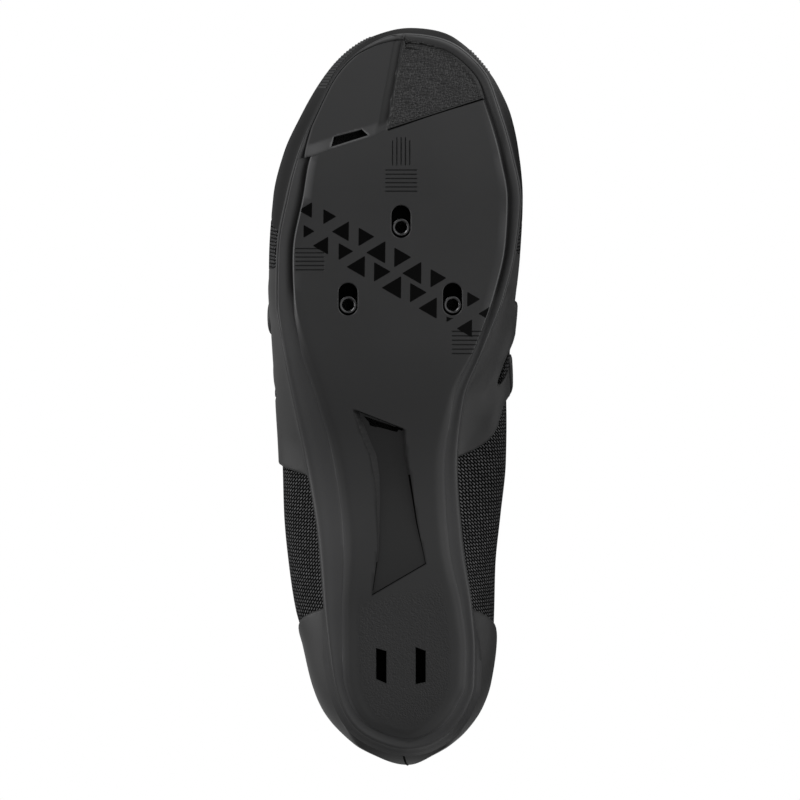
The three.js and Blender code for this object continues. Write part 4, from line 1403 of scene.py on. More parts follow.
def paint_faces(piece, index, test):
    """Gives a second material to the faces whose middles pass the test."""
    mesh = piece.data
    middles = np.zeros(len(mesh.polygons) * 3)
    mesh.polygons.foreach_get("center", middles)
    painted = material_indices(mesh)
    chosen = test(to_shoe(middles.reshape(-1, 3)))
    mesh.polygons.foreach_set("material_index", np.where(chosen, index, painted).astype(np.int32))


# How deep the bevelled mouths of the openings are, above which their walls get painted shade in near black
SLOT_MOUTH, HEEL_SLOT_MOUTH, ARCH_VENT_MOUTH, TOE_VENT_MOUTH = 0.4, 0.9, 0.6, 1.9
ON_EDGE = -0.05


def in_recess(points):
    """Inside the slots and vents, past their mouths."""
    holes = [(slot_outline(u, v), SLOT_MOUTH) for u, v in NUTS]
    holes += [(plan(edge), HEEL_SLOT_MOUTH) for edge in HEEL_SLOTS]
    holes += [(plan(ARCH_VENT), ARCH_VENT_MOUTH), (plan(TOE_VENT), TOE_VENT_MOUTH)]
    height = over_plate(points)
    found = np.zeros(len(points), bool)
    for outline, deep in holes:
        found |= (inside(points[:, [0, 1]], np.array(outline)) > ON_EDGE) & (height > deep)
    return found


CHANNEL_EDGE = np.array(CHANNEL_LEFT + CHANNEL_RIGHT[::-1])
CHANNEL_LOW, CHANNEL_HIGH = 0.03, 6
# The part of the channel's wall that gets near black painted shade: its width and height, and where it ends
# on either side
WALL_WIDTH, WALL_HEIGHT, WALL_END = 0.42, 1.6, 112
HEEL_WALL_END, HEEL_WALL_SIDE = 78, -10.5


def in_channel(points):
    height = over_plate(points)
    within = inside(points[:, [0, 1]], CHANNEL_EDGE) > ON_EDGE
    return within & (height > CHANNEL_LOW) & (height < CHANNEL_HIGH) & ~in_recess(points)


def in_channel_edge(points):
    """The channel's steep medial wall and its wall at the heel end, painted near black as shade."""
    u, v, _ = points.T
    wall = (inside(points[:, [0, 1]], CHANNEL_EDGE) < WALL_WIDTH) & (u < WALL_END)
    lateral_wall = np.interp(u, *np.array(CHANNEL_LEFT).T) + LEFT_WALL > v
    heel_end = (u < HEEL_WALL_END) & (v > HEEL_WALL_SIDE)
    return in_channel(points) & wall & (heel_end | ~lateral_wall) & (over_plate(points) < WALL_HEIGHT)


def sole_share(u):
    return (u - HEEL_TUCK) / SOLE_LENGTH


SLOPE_STEP = 0.002


def plate_room(points, on_toe=False):
    """How far inside the plate's edge each point lies, below zero on the rim, and if it is lateral."""
    u, v = points[:, 0], points[:, 1]
    step = SLOPE_STEP
    along = np.clip(sole_share(u), step, 1 - step)
    rooms = []
    for side, sign in (("lateral", -1), ("medial", 1)):
        behind, edge, ahead = (sole_shape[side](along + d) * BALL_WIDTH for d in (-step, 0, step))
        slope = (ahead - behind) / (2 * step * SOLE_LENGTH)
        rooms.append(sign * (edge - v) / np.sqrt(1 + slope ** 2) - rim_width(along, side, on_toe))
    return np.minimum(*rooms), rooms[0] < rooms[1]


def window(values, first, last, soft):
    """1 between two values and 0 outside them, with soft borders."""
    return smooth_step(values, first, first + soft) * (1 - smooth_step(values, last - soft, last))


def by_side(lateral, values):
    return np.where(lateral, *values)


# Stretches along the shoe in millimetres: where a change starts and ends, or from, to and how softly.
# The numbers in smooth_step() and window() below are borders of the same two kinds.
HEEL_TIP, HEEL_FIELD_START, HEEL_FIELD_END = (4, 14), (12, 20), (60, 66)
HEEL_FIELD_SLANT = 0.3
MEDIAL_TOE, CAP_FADE, TOE_TIP = (225, 245), (244, 274), (268, 278)
CAP_BAND_TOP = (3.5, 9)
HEEL_RIM_STRETCH = (8, 80, 20)
CREASE_STRETCH = (178, 238, 8)
FRONT_EDGE_STRETCH = (168, 256, 14)


def pebbled_heel(points):
    """Where the heel's oval has its pebbled ground, from 0 to 1."""
    u, v, _ = points.T
    room, _ = plate_room(points)
    flat = smooth_step(0.25 - over_plate(points), 0, 0.15)
    slant = u - HEEL_FIELD_SLANT * (v + 11)
    ends = smooth_step(u, *HEEL_FIELD_START) * (1 - smooth_step(slant, *HEEL_FIELD_END))
    return smooth_step(room, 3, 6) * ends * flat


def pebbled_toe(points):
    """Where the toe's tread is pebbled, from 0 to 1."""
    u, v, _ = points.T
    room, _ = plate_room(points, on_toe=True)
    edges = smooth_step(across_valley(u, v), 0.95, 1.1) * smooth_step(past_joint(u, v), 0.6, 1.2)
    return edges * smooth_step(room, -0.4, 0.8)


# Painted light and shade on the sole: how much lighter or darker parts of it are painted, with painted light
# on the rim and a ridge, painted highlights on edges and the vent's bevel, painted shade in creases, the
# toe's valley, along borders and walls, and a darker pebbled tread; pairs are for the lateral and the medial
# side
RIM_PAINTED_LIGHT = (0.52, 0.54)
CREASE_PAINTED_SHADE = (0.72, 0.35)
FRONT_EDGE_PAINTED_HIGHLIGHT = (1, 0.6)
RIDGE_PAINTED_LIGHT, BORDER_PAINTED_SHADE, WALL_PAINTED_SHADE = 0.16, 0.3, 0.45
TOE_TIP_PAINTED_LIGHT = 0.85
HEEL_RIM_PAINTED_LIGHT = 0.22
EDGE_PAINTED_HIGHLIGHT = 1.5
VALLEY_PAINTED_SHADE, PEBBLE_TONE, TREAD_EDGE_PAINTED_SHADE = 0.45, 0.3, 0.2
SLOPE_PAINTED_LIGHT, CORNER_PAINTED_LIGHT, BEVEL_PAINTED_HIGHLIGHT, TOE_EDGE_PAINTED_HIGHLIGHT = 0.35, 0.5, 1.3, 0.7


def rim_painted_light(points, on_toe=False):
    """1 on the plate, and painted light on the rim, stronger at the toe's tip and along the heel's rim."""
    u = points[:, 0]
    room, lateral = plate_room(points, on_toe)
    lighter = by_side(lateral, RIM_PAINTED_LIGHT)
    lighter = lighter + TOE_TIP_PAINTED_LIGHT * smooth_step(u, *TOE_TIP) + HEEL_RIM_PAINTED_LIGHT * window(u, *HEEL_RIM_STRETCH)
    inner = 0.2 + 2.5 * ~lateral * smooth_step(u, *MEDIAL_TOE)
    return 1 + lighter * smooth_step(-room, inner, inner + 1.4)


def sole_painted_light_shade(points):
    """Painted light and shade on the sole: a painted highlight on the plate's front edge, painted light on a
    band inside the plate's edge at the heel and on the rim, and painted shade in the creases, along the outer
    border and at the channel's walls.
    """
    u = points[:, 0]
    room, lateral = plate_room(points)
    crease = smooth_step(-room, 0, 0.15) * (1 - smooth_step(-room, 0.6, 3.4))
    crease *= window(u, *CREASE_STRETCH) * by_side(lateral, CREASE_PAINTED_SHADE)
    edge = window(room, -0.02, 0.62, 0.1) * window(u, *FRONT_EDGE_STRETCH) * by_side(lateral, FRONT_EDGE_PAINTED_HIGHLIGHT)
    ridge = RIDGE_PAINTED_LIGHT * (1 - smooth_step(room, 3, 4.5)) * (1 - smooth_step(u, 55, 75)) * (room > 0)
    along = np.clip(sole_share(u), 0, 1)
    to_border = room + by_side(lateral, [rim_width(along, side) for side in ("lateral", "medial")])
    border = BORDER_PAINTED_SHADE * (1 - smooth_step(to_border, 0.3, 1.6)) * (1 - smooth_step(u, 150, 190))
    walls = WALL_PAINTED_SHADE * window(inside(points[:, [0, 1]], CHANNEL_EDGE), -0.35, 0.5, 0.3)
    lit = 1 + EDGE_PAINTED_HIGHLIGHT * edge + ridge
    return rim_painted_light(points) * lit * (1 - crease) * (1 - border) * (1 - walls)


def toe_painted_light_shade(points):
    """Painted light and shade on the toe pad: painted shade in the valley and along the tread's medial edge,
    a darker pebbled tread, painted light on the facet's slope, and painted highlights on the vent's bevel and
    the lateral edge.
    """
    u, v, _ = points.T
    share = across_valley(u, v)
    past = past_joint(u, v)
    room, lateral = plate_room(points, on_toe=True)
    inner = smooth_step(room, -0.5, 1)
    band = window(share, 0, 0.95, 0.15) * smooth_step(past, 2.0, 4.0) * inner
    slope = window(past, 0.1, 4.8, 0.8) * (1 - smooth_step(share, -0.2, 0.1)) * inner
    bevel = window(inside(points[:, [0, 1]], np.array(plan(TOE_VENT))), -0.5, 0.05, 0.06)
    corner = CORNER_PAINTED_LIGHT * smooth_step(-v, 26, 34)
    edge = window(room, -0.7, 0.5, 0.3) * lateral * smooth_step(past, 0, 3)
    tread_edge = TREAD_EDGE_PAINTED_SHADE * window(room, -0.6, 2.2, 0.5) * ~lateral
    dark = (1 - VALLEY_PAINTED_SHADE * band) * (1 - PEBBLE_TONE * pebbled_toe(points)) * (1 - tread_edge)
    light = 1 + (SLOPE_PAINTED_LIGHT + corner) * slope + BEVEL_PAINTED_HIGHLIGHT * bevel + TOE_EDGE_PAINTED_HIGHLIGHT * edge
    return rim_painted_light(points, on_toe=True) * dark * light


PAINTED_LIGHT_SHADE_GAIN = 1.6


def strengthened(painted_light_shade):
    """Painted light and shade spread wider, because they scale the colour alone and not the shine."""
    return np.maximum(0, 1 + PAINTED_LIGHT_SHADE_GAIN * (painted_light_shade - 1))


def toe_cap_shade(points):
    """The toe cap is darkest in a band along its sides, and on the medial side up to its top."""
    lift = over_rim(points)
    top = np.where(points[:, 1] < 0, 1 - smooth_step(lift, *CAP_BAND_TOP), 1)
    return (1 - smooth_step(points[:, 0], *CAP_FADE)) * smooth_step(lift, -0.5, 1.5) * top


def at_heel_tip(points):
    return 1 - smooth_step(points[:, 0], *HEEL_TIP)


def near_sole(points):
    """1 where the upper meets the sole, fading to 0 further out."""
    return 1 - smooth_step(over_rim(points), -1, 9)


SLIT_SHADE, SOLE_SHADE = 0.9, 0.6


def panel_shade(points):
    return np.maximum(SOLE_SHADE * near_sole(points), at_heel_tip(points))


def slit_shade(points):
    """Darkest at the borders of the medial slit, where the bootie lies in the wing's shade."""
    room = inside(points[:, [0, 2]], side_outline(MEDIAL_SLIT))
    return SLIT_SHADE * (room > -2) * (1 - smooth_step(room, 0.3, 2.2)) * (points[:, 1] > 0)


# Shader groups
def new_group(name, inputs, outputs):
    group = bpy.data.node_groups.new(name, "ShaderNodeTree")
    for label, kind, value in inputs:
        socket = group.interface.new_socket(label, in_out="INPUT", socket_type=kind)
        if value is not None:
            socket.default_value = value
    for label, kind in outputs:
        group.interface.new_socket(label, in_out="OUTPUT", socket_type=kind)
    nodes = group.nodes
    return group, nodes.new("NodeGroupInput"), nodes.new("NodeGroupOutput")


def math_node(tree, operation, a, b=None, clamp=False):
    node = tree.nodes.new("ShaderNodeMath")
    node.operation = operation
    node.use_clamp = clamp
    for socket, value in zip(node.inputs, (a, b)):
        if value is None:
            continue
        if isinstance(value, (int, float)):
            socket.default_value = value
        else:
            tree.links.new(value, socket)
    return node.outputs[0]


FLOAT, VECTOR = "NodeSocketFloat", "NodeSocketVector"


def scaled(tree, vector, size):
    """Coordinates in units of a size in millimetres."""
    node = tree.nodes.new("ShaderNodeVectorMath")
    node.operation = "DIVIDE"
    tree.links.new(vector, node.inputs[0])
    if isinstance(size, (int, float)):
        node.inputs[1].default_value = (size,) * 3
    else:
        tree.links.new(size, node.inputs[1])
    return node.outputs[0]


def texture(tree, kind, given, **values):
    """A texture of the given size in millimetres."""
    node = tree.nodes.new(kind)
    for label, value in {"Scale": 1, **values}.items():
        node.inputs[label].default_value = value
    tree.links.new(scaled(tree, given.outputs["Place"], given.outputs["Size"]), node.inputs["Vector"])
    return node


def make_grain_group():
    """Fine moulded or leathery grain."""
    group, given, result = new_group(
        "fine_grain", [("Place", VECTOR, None), ("Size", FLOAT, 0.4)], [("Height", FLOAT)])
    noise = texture(group, "ShaderNodeTexNoise", given, Detail=3, Roughness=0.6)
    group.links.new(noise.outputs["Fac"], result.inputs["Height"])
    return group


def make_pebble_group():
    """Rounded pebbles side by side."""
    group, given, result = new_group(
        "pebbled_ground", [("Place", VECTOR, None), ("Size", FLOAT, 1.0)], [("Height", FLOAT)])
    cells = texture(group, "ShaderNodeTexVoronoi", given)
    cells.feature = "SMOOTH_F1"
    cells.inputs["Smoothness"].default_value = 0.35
    height = math_node(group, "SUBTRACT", 1.0, cells.outputs["Distance"], clamp=True)
    group.links.new(height, result.inputs["Height"])
    return group


def make_tone_group():
    """Slow drift of a surface's colour, from 0 to 1."""
    group, given, result = new_group(
        "slow_tone", [("Place", VECTOR, None), ("Size", FLOAT, 30.0)], [("Tone", FLOAT)])
    noise = texture(group, "ShaderNodeTexNoise", given, Detail=2)
    spread = group.nodes.new("ShaderNodeMapRange")
    spread.inputs["From Min"].default_value = 0.3
    spread.inputs["From Max"].default_value = 0.7
    group.links.new(noise.outputs["Fac"], spread.inputs["Value"])
    group.links.new(spread.outputs["Result"], result.inputs["Tone"])
    return group


def half_waves(tree, value):
    """Rounded humps side by side, from 0 to 1 and back in every unit."""
    sine = math_node(tree, "SINE", math_node(tree, "MULTIPLY", value, math.pi))
    return math_node(tree, "ABSOLUTE", sine)


def make_weave_group():
    """Slanted strands over a dark ground, each one short and rounded."""
    group, given, result = new_group(
        "slanted_weave", [("Cloth", VECTOR, None), ("Pitch", FLOAT, 1.0), ("Slant", FLOAT, 0.8)],
        [("Strand", FLOAT), ("Height", FLOAT)])
    turned = group.nodes.new("ShaderNodeVectorRotate")
    turned.rotation_type = "Z_AXIS"
    group.links.new(scaled(group, given.outputs["Cloth"], given.outputs["Pitch"]), turned.inputs["Vector"])
    group.links.new(given.outputs["Slant"], turned.inputs["Angle"])
    split = group.nodes.new("ShaderNodeSeparateXYZ")
    group.links.new(turned.outputs["Vector"], split.inputs[0])
    row = math_node(group, "FLOOR", split.outputs["Y"])
    offset = math_node(group, "MULTIPLY", row, 0.5)
    along = math_node(group, "ADD", math_node(group, "MULTIPLY", split.outputs["X"], 0.55), offset)
    length_wave, width_wave = (half_waves(group, value) for value in (along, split.outputs["Y"]))
    height = math_node(group, "MULTIPLY", math_node(group, "POWER", length_wave, 0.5), width_wave)
    strand = group.nodes.new("ShaderNodeMapRange")
    strand.interpolation_type = "SMOOTHSTEP"
    strand.inputs["From Min"].default_value = 0.45
    strand.inputs["From Max"].default_value = 0.85
    group.links.new(height, strand.inputs["Value"])
    group.links.new(strand.outputs["Result"], result.inputs["Strand"])
    group.links.new(height, result.inputs["Height"])
    return group


GRAIN, PEBBLES = make_grain_group(), make_pebble_group()
TONE, WEAVE = make_tone_group(), make_weave_group()


class Finish:
    """A material being made: its tree, its shader and the shoe's own millimetres."""

    def __init__(self, name, roughness, specular=0.5, metallic=0.0, sheen=0.0):
        self.material = bpy.data.materials.new(name)
        self.material.use_nodes = True
        self.tree = self.material.node_tree
        self.shader = self.tree.nodes["Principled BSDF"]
        inputs = self.shader.inputs
        inputs["Roughness"].default_value = roughness
        inputs["Specular IOR Level"].default_value = specular
        inputs["Metallic"].default_value = metallic
        inputs["Sheen Weight"].default_value = sheen
        self.places = self.attribute("shoe")

    def attribute(self, name, output="Vector"):
        node = self.tree.nodes.new("ShaderNodeAttribute")
        node.attribute_name = name
        return node.outputs[output]

    def group(self, group, output, **values):
        node = self.tree.nodes.new("ShaderNodeGroup")
        node.node_tree = group
        for label, value in values.items():
            if isinstance(value, (int, float)):
                node.inputs[label].default_value = value
            else:
                self.tree.links.new(value, node.inputs[label])
        return node.outputs[output]

    def grain(self, size):
        return self.group(GRAIN, "Height", Place=self.places, Size=size)

    def drift(self, size):
        return self.group(TONE, "Tone", Place=self.places, Size=size)

    def weave(self, cloth, pitch, slant):
        given = {"Cloth": cloth, "Pitch": pitch, "Slant": slant}
        return self.group(WEAVE, "Strand", **given), self.group(WEAVE, "Height", **given)

    def mixed(self, factor, first, second):
        node = self.tree.nodes.new("ShaderNodeMix")
        node.data_type = "RGBA"
        self.tree.links.new(factor, node.inputs["Factor"])
        for label, colour in (("A", first), ("B", second)):
            socket = [s for s in node.inputs if s.name == label and s.type == "RGBA"][0]
            if isinstance(colour, tuple):
                socket.default_value = (*colour, 1)
            else:
                self.tree.links.new(colour, socket)
        return [s for s in node.outputs if s.type == "RGBA"][0]

    def colour(self, value):
        self.tree.links.new(value, self.shader.inputs["Base Color"])

    def vary_roughness(self, factor, low, high):
        node = self.tree.nodes.new("ShaderNodeMapRange")
        node.inputs["To Min"].default_value = low
        node.inputs["To Max"].default_value = high
        self.tree.links.new(factor, node.inputs["Value"])
        self.tree.links.new(node.outputs["Result"], self.shader.inputs["Roughness"])

    def bumps(self, *heights):
        """Stacks bumps: each row is a height from 0 to 1 and its depth in millimetres."""
        normal = None
        for height, depth in heights:
            node = self.tree.nodes.new("ShaderNodeBump")
            node.inputs["Distance"].default_value = depth / 1000
            node.inputs["Strength"].default_value = 1.0
            self.tree.links.new(height, node.inputs["Height"])
            if normal is not None:
                self.tree.links.new(normal, node.inputs["Normal"])
            normal = node.outputs["Normal"]
        self.tree.links.new(normal, self.shader.inputs["Normal"])

    def times(self, a, b):
        return math_node(self.tree, "MULTIPLY", a, b)

    def one_minus(self, value):
        return math_node(self.tree, "SUBTRACT", 1.0, value)

    def apply_painted_light_shade(self, colour, painted_light_shade):
        """Scales a colour by painted light and shade."""
        node = self.tree.nodes.new("ShaderNodeVectorMath")
        node.operation = "SCALE"
        self.tree.links.new(colour, node.inputs[0])
        self.tree.links.new(painted_light_shade, node.inputs["Scale"])
        self.colour(node.outputs[0])


def grey(value):
    """A grey with a touch of blue."""
    return (value, value, value * 1.02)


def moulded(name, dark, light, roughness, grain=0.35, grain_depth=0.02, specular=0.5):
    finish = Finish(name, roughness, specular)
    fine = finish.grain(grain)
    finish.colour(finish.mixed(finish.drift(SOLE_DRIFT), grey(dark), grey(light)))
    finish.vary_roughness(fine, roughness - 0.06, roughness + 0.08)
    finish.bumps((fine, grain_depth))
    return finish.material


SOLE_SPECULAR = 0.3
SOLE_DARK, SOLE_LIGHT = 0.0192, 0.022
# Sizes of the slow changes of tone, in millimetres
SOLE_DRIFT, PANEL_DRIFT, STRAND_DRIFT = 35.0, 25.0, 0.9
STRAND_DARK, STRAND_LIGHT, WEAVE_GROUND = 0.036, 0.13, 0.0003


def sole_material(name, roughness, pebble_size, pebble_depth):
    finish = Finish(name, roughness, SOLE_SPECULAR)
    fine = finish.grain(0.35)
    pebble = finish.group(PEBBLES, "Height", Place=finish.places, Size=pebble_size)
    field = finish.attribute("pebbled", "Fac")
    colours = finish.mixed(finish.drift(SOLE_DRIFT), grey(SOLE_DARK), grey(SOLE_LIGHT))
    # The colour is scaled by the painted light and shade stored on the piece
    finish.apply_painted_light_shade(colours, finish.attribute("painted_light_shade", "Fac"))
    finish.vary_roughness(fine, roughness - 0.05, roughness + 0.07)
    finish.bumps((fine, 0.012), (finish.times(pebble, field), pebble_depth))
    return finish.material


def panel_material(name, colours, roughness, shade, grain=0.3, grain_depth=0.012, specular=0.4, sheen=0.12):
    """Smooth moulded panels, with painted shade where they meet the sole."""
    finish = Finish(name, roughness, specular, sheen=sheen)
    fine = finish.grain(grain)
    dark, light = (grey(value) for value in colours)
    painted_light_shade = finish.one_minus(finish.times(finish.attribute("shade", "Fac"), shade))
    finish.apply_painted_light_shade(finish.mixed(finish.drift(PANEL_DRIFT), dark, light), painted_light_shade)
    finish.vary_roughness(fine, roughness - 0.05, roughness + 0.07)
    finish.bumps((fine, grain_depth))
    return finish.material


def weave_material(name, pitch, slant):
    finish = Finish(name, 0.7, 0.06)
    strand, height = finish.weave(finish.attribute("cloth"), pitch, slant)
    light = finish.mixed(finish.drift(STRAND_DRIFT), grey(STRAND_DARK), grey(STRAND_LIGHT))
    woven = finish.mixed(strand, grey(WEAVE_GROUND), light)
    finish.apply_painted_light_shade(woven, finish.one_minus(finish.attribute("shade", "Fac")))
    finish.vary_roughness(strand, 0.9, 0.5)
    finish.bumps((height, 0.4))
    return finish.material


def grained(name, roughness, specular, grain, colours, roughnesses=None, depth=0.01, metallic=0.0):
    """A plain finish whose grain varies its colour a little, and its roughness where that is given."""
    finish = Finish(name, roughness, specular, metallic)
    fine = finish.grain(grain)
    dark, light = (grey(value) for value in colours)
    finish.colour(finish.mixed(fine, dark, light))
    if roughnesses is not None:
        finish.vary_roughness(fine, *roughnesses)
    finish.bumps((fine, depth))
    return finish.material


def plain_black(name, value, roughness, specular):
    return grained(name, roughness, specular, 0.5, (value * 0.8, value * 1.2))


def cloth_material(name, dark, light, size):
    finish = Finish(name, 0.85, 0.25, sheen=0.15)
    weave, height = finish.weave(finish.places, size, 0.6)
    finish.colour(finish.mixed(weave, grey(dark), grey(light)))
    finish.bumps((height, 0.15))
    return finish.material


MATERIALS = {
    "plate": sole_material("plate_composite", 0.46, 0.62, 0.2),
    # Near black painted shade inside the slots and vents and on the channel's steep walls
    "recess_painted_shade": plain_black("recess_painted_shade", 0.0006, 0.9, 0.02),
    "channel": moulded("channel_floor", 0.0074, 0.0088, 0.5, specular=0.33),
    "toe_rubber": sole_material("toe_rubber", 0.5, 1.0, 0.7),
    "steel": grained("dark_steel", 0.26, 0.5, 0.6, (0.06, 0.1), (0.2, 0.36), metallic=1.0),
    # The nut plate is black, and darker still as painted shade down the slots
    "blackened_and_shaded": plain_black("blackened_plate_painted_shade", 0.0006, 0.8, 0.03),
    "wing": panel_material("smooth_panel", (0.0102, 0.0128), 0.56, 0.1),
    "counter": panel_material("heel_panel", (0.016, 0.0195), 0.5, 0.85),
    "bumper": panel_material("toe_bumper", (0.0125, 0.0155), 0.66, 0.6, 0.9, 0.05, 0.22, 0.0),
    # The ribs are painted lighter than the bumper, a painted highlight along them
    "rib": moulded("toe_ribs_painted_highlight", 0.03, 0.04, 0.6, specular=0.25),
    "strap": moulded("strap", 0.0125, 0.0155, 0.55, 0.5, 0.03, 0.45),
    "seam": plain_black("heel_seam", 0.0008, 0.8, 0.05),
    "weave": weave_material("woven_quarter", 1.02, -0.8),
    "print": grained("gloss_print", 0.16, 0.08, 0.8, (0.0008, 0.0014), (0.12, 0.22), 0.006),
    "binding": cloth_material("collar_binding", 0.004, 0.009, 0.6),
    "tongue": cloth_material("tongue_cloth", 0.003, 0.008, 0.9),
    "insole": cloth_material("insole_cloth", 0.006, 0.012, 0.8),
}


OVERLAY_LOOKS = {"toe_cap": ("bumper", "bumper"), "heel_counter": ("smooth_panel", "counter")}
SOLE_SHARP_ANGLE = 32
PRINT_INSET = 0.35


# The straps are a little thinner than the solids, so that none of them comes under the floor
STRAP_EASE = 0.15
BINDING_SPACING, BINDING_RADIUS, BINDING_SQUASH, BINDING_SINK = 1.6, 1.7, 0.85, 0.6


def build_sole():
    sole, toe = make_sole()
    # Slots, vents and the channel's steep walls get near black painted shade; the channel's floor gets its
    # own darker finish
    paint_faces(sole, 1, in_recess)
    paint_faces(sole, 2, in_channel)
    paint_faces(sole, 1, in_channel_edge)
    paint_faces(toe, 1, in_recess)
    parts = (
        (sole, "composite", "outsole", ("plate", "recess_painted_shade", "channel"), pebbled_heel, sole_painted_light_shade),
        (toe, "toe_rubber", "toe_pad", ("toe_rubber", "recess_painted_shade"), pebbled_toe, toe_painted_light_shade),
    )
    for piece, slot, node, looks, pebbled, painted_light_shade in parts:
        finishes = [MATERIALS[name] for name in looks]
        shoe = place_piece(piece, "shoe", slot, finishes, [node], SOLE_SHARP_ANGLE)
        store(piece, "pebbled", pebbled(shoe))
        # Painted light and shade for the colour, stored on every point
        store(piece, "painted_light_shade", strengthened(painted_light_shade(shoe)))
    # The nut plate's near black finish is partly painted shade
    finishes = [MATERIALS["blackened_and_shaded"], MATERIALS["steel"]]
    place_piece(make_nut_plate(), "cleat_nuts", "steel", finishes, ["cleat_nut_plate"], 35)
    place_piece(make_print(plate_plan(PRINT_INSET)), "shoe", "composite", MATERIALS["print"])


def build_inside():
    layer = slab_rows(RIM_HEIGHT - INSOLE, 0, SEAT_SHARE * INSTEP_HEIGHT - LINING + INSOLE)
    insole = form("insole_skin", LINING)
    boolean(insole, [loft("cut", sole_rings(cosine_steps(90), layer))], "INTERSECT")
    place_piece(insole, "shoe", "insole_fabric", MATERIALS["insole"], ["insole"])
    bootie, rims = panel("upper_skin", bootie_field, BOOTIE - UPPER_WALL, BOOTIE, 0.7, window_relief)
    shoe = place_piece(bootie, "shoe", "woven_mesh", MATERIALS["weave"], ["upper"])
    store(bootie, "shade", slit_shade(shoe))
    opening = max(rims, key=lambda rim: rim[0][:, 2].max() + len(rim[0]) * 0.001)
    path, normals = evened(*opening, BINDING_SPACING)
    path = path - normals * BINDING_SINK
    binding = tube("collar_binding", path, normals, BINDING_RADIUS, BINDING_SQUASH)
    place_piece(binding, "shoe", "woven_mesh", MATERIALS["binding"])
    tongue, _ = panel("tongue_skin", tongue_field, LINING - TONGUE, LINING, 1.4)
    place_piece(tongue, "shoe", "tongue_fabric", MATERIALS["tongue"], ["tongue"])


def build_outside():
    overlays = {
        "medial_wing": (overlay_field(MEDIAL_WING, 1, MEDIAL_SLIT), folds(MEDIAL_FOLDS)),
        "lateral_wing": (overlay_field(LATERAL_WING, -1, LATERAL_SLIT), folds(LATERAL_FOLDS)),
        "heel_counter": (overlay_field(COUNTER), folds(COUNTER_FOLDS)),
        "toe_cap": (overlay_field(TOE_CAP), None),
    }
    for node, (field, relief) in overlays.items():
        piece, _ = panel(node + "_skin", field, -OVERLAY, 0.0, 0.9, relief)
        slot, look = OVERLAY_LOOKS.get(node, ("smooth_panel", "wing"))
        shoe = place_piece(piece, "shoe", slot, MATERIALS[look], [node])
        shade = toe_cap_shade if node == "toe_cap" else panel_shade
        store(piece, "shade", shade(shoe))
    for node, shares in (("front_strap", FRONT_STRAP), ("rear_strap", REAR_STRAP)):
        top = CLEARANCE + STRAP - STRAP_EASE
        piece, _ = panel(node + "_skin", strap_field(shares), CLEARANCE, top, 0.8)
        place_piece(piece, "shoe", "strap_fabric", MATERIALS["strap"], [node])
    place_piece(make_toe_ribs(), "shoe", "bumper", MATERIALS["rib"])
    place_piece(make_heel_seam(), "shoe", "smooth_panel", MATERIALS["seam"])


build_sole()
build_inside()
build_outside()


# Studio
BACKGROUND = 1.0
AMBIENT = 0.27
WHITE = (1, 1, 1, 1)
FLOOR_SIDE = 6
FLOOR_COLOUR = (0.85, 0.85, 0.85, 1)
LIGHT_SIZE = 0.35
LIGHT_TARGET = (150, 0, 0)
# Each light's place in the shoe's millimetres, and its power in watts
LIGHTS = {
    "toe_lateral_light": ((560, -420, -170), 1.9),
    "toe_medial_light": ((560, 420, -170), 1.5),
    "lateral_light": ((120, -640, -90), 1.8),
    "medial_light": ((60, 640, -110), 1.45),
}


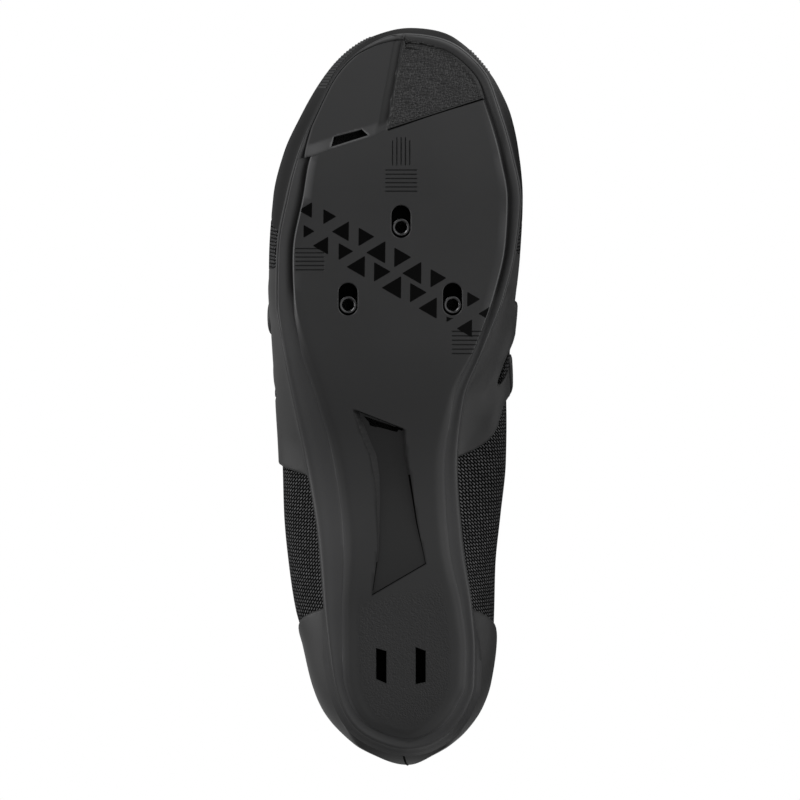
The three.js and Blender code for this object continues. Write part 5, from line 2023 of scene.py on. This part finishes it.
def make_floor():
    bpy.ops.mesh.primitive_plane_add(size=FLOOR_SIDE, location=(0, 0, 0))
    floor = bpy.context.object
    floor.name = "floor"
    material = bpy.data.materials.new("floor")
    material.use_nodes = True
    nodes = material.node_tree.nodes
    links = material.node_tree.links
    shader = nodes["Principled BSDF"]
    shader.inputs["Base Color"].default_value = FLOOR_COLOUR
    shader.inputs["Roughness"].default_value = 0.9
    clear = nodes.new("ShaderNodeBsdfTransparent")
    sides = nodes.new("ShaderNodeNewGeometry")
    rays = nodes.new("ShaderNodeLightPath")
    open_to_light = nodes.new("ShaderNodeMath")
    open_to_light.operation = "MAXIMUM"
    mix = nodes.new("ShaderNodeMixShader")
    links.new(sides.outputs["Backfacing"], open_to_light.inputs[0])
    links.new(rays.outputs["Is Shadow Ray"], open_to_light.inputs[1])
    links.new(open_to_light.outputs[0], mix.inputs[0])
    links.new(shader.outputs[0], mix.inputs[1])
    links.new(clear.outputs[0], mix.inputs[2])
    links.new(mix.outputs[0], nodes["Material Output"].inputs["Surface"])
    floor.data.materials.append(material)


def make_world():
    world = bpy.data.worlds.new("studio")
    bpy.context.scene.world = world
    world.use_nodes = True
    nodes, links = world.node_tree.nodes, world.node_tree.links
    ambient = nodes["Background"]
    ambient.inputs["Color"].default_value = WHITE
    ambient.inputs["Strength"].default_value = AMBIENT
    behind = nodes.new("ShaderNodeBackground")
    behind.inputs["Color"].default_value = WHITE
    behind.inputs["Strength"].default_value = BACKGROUND
    rays = nodes.new("ShaderNodeLightPath")
    mix = nodes.new("ShaderNodeMixShader")
    links.new(rays.outputs["Is Camera Ray"], mix.inputs[0])
    links.new(ambient.outputs[0], mix.inputs[1])
    links.new(behind.outputs[0], mix.inputs[2])
    links.new(mix.outputs[0], nodes["World Output"].inputs["Surface"])


def area_light(name, place, power):
    light = bpy.data.lights.new(name, "AREA")
    light.shape = "DISK"
    light.size = LIGHT_SIZE
    light.energy = power
    lamp = bpy.data.objects.new(name, light)
    bpy.context.scene.collection.objects.link(lamp)
    lamp.location = Vector(to_world([place])[0])
    aim = Vector(to_world([LIGHT_TARGET])[0]) - lamp.location
    lamp.rotation_euler = aim.to_track_quat("-Z", "Y").to_euler()


# The camera looks square on to the sole, and its up is the way of the toe
IMAGE_MIDDLE = (141.1, 0.0)
IMAGE_SIDE = 0.30936
EYE_DISTANCE = 600


def make_camera():
    camera = bpy.data.objects.new("camera", bpy.data.cameras.new("camera"))
    bpy.context.scene.collection.objects.link(camera)
    camera.data.type = "ORTHO"
    camera.data.ortho_scale = IMAGE_SIDE
    camera.data.clip_start = 0.01
    eye = Vector(to_world([(*IMAGE_MIDDLE, -EYE_DISTANCE)])[0])
    turn = Matrix((medialward, toeward, -instepward)).transposed()
    camera.matrix_world = Matrix.Translation(eye) @ turn.to_4x4()
    bpy.context.scene.camera = camera


make_floor()
make_world()
for name, (place, power) in LIGHTS.items():
    area_light(name, place, power)
make_camera()
bpy.context.scene.view_settings.view_transform = "Standard"
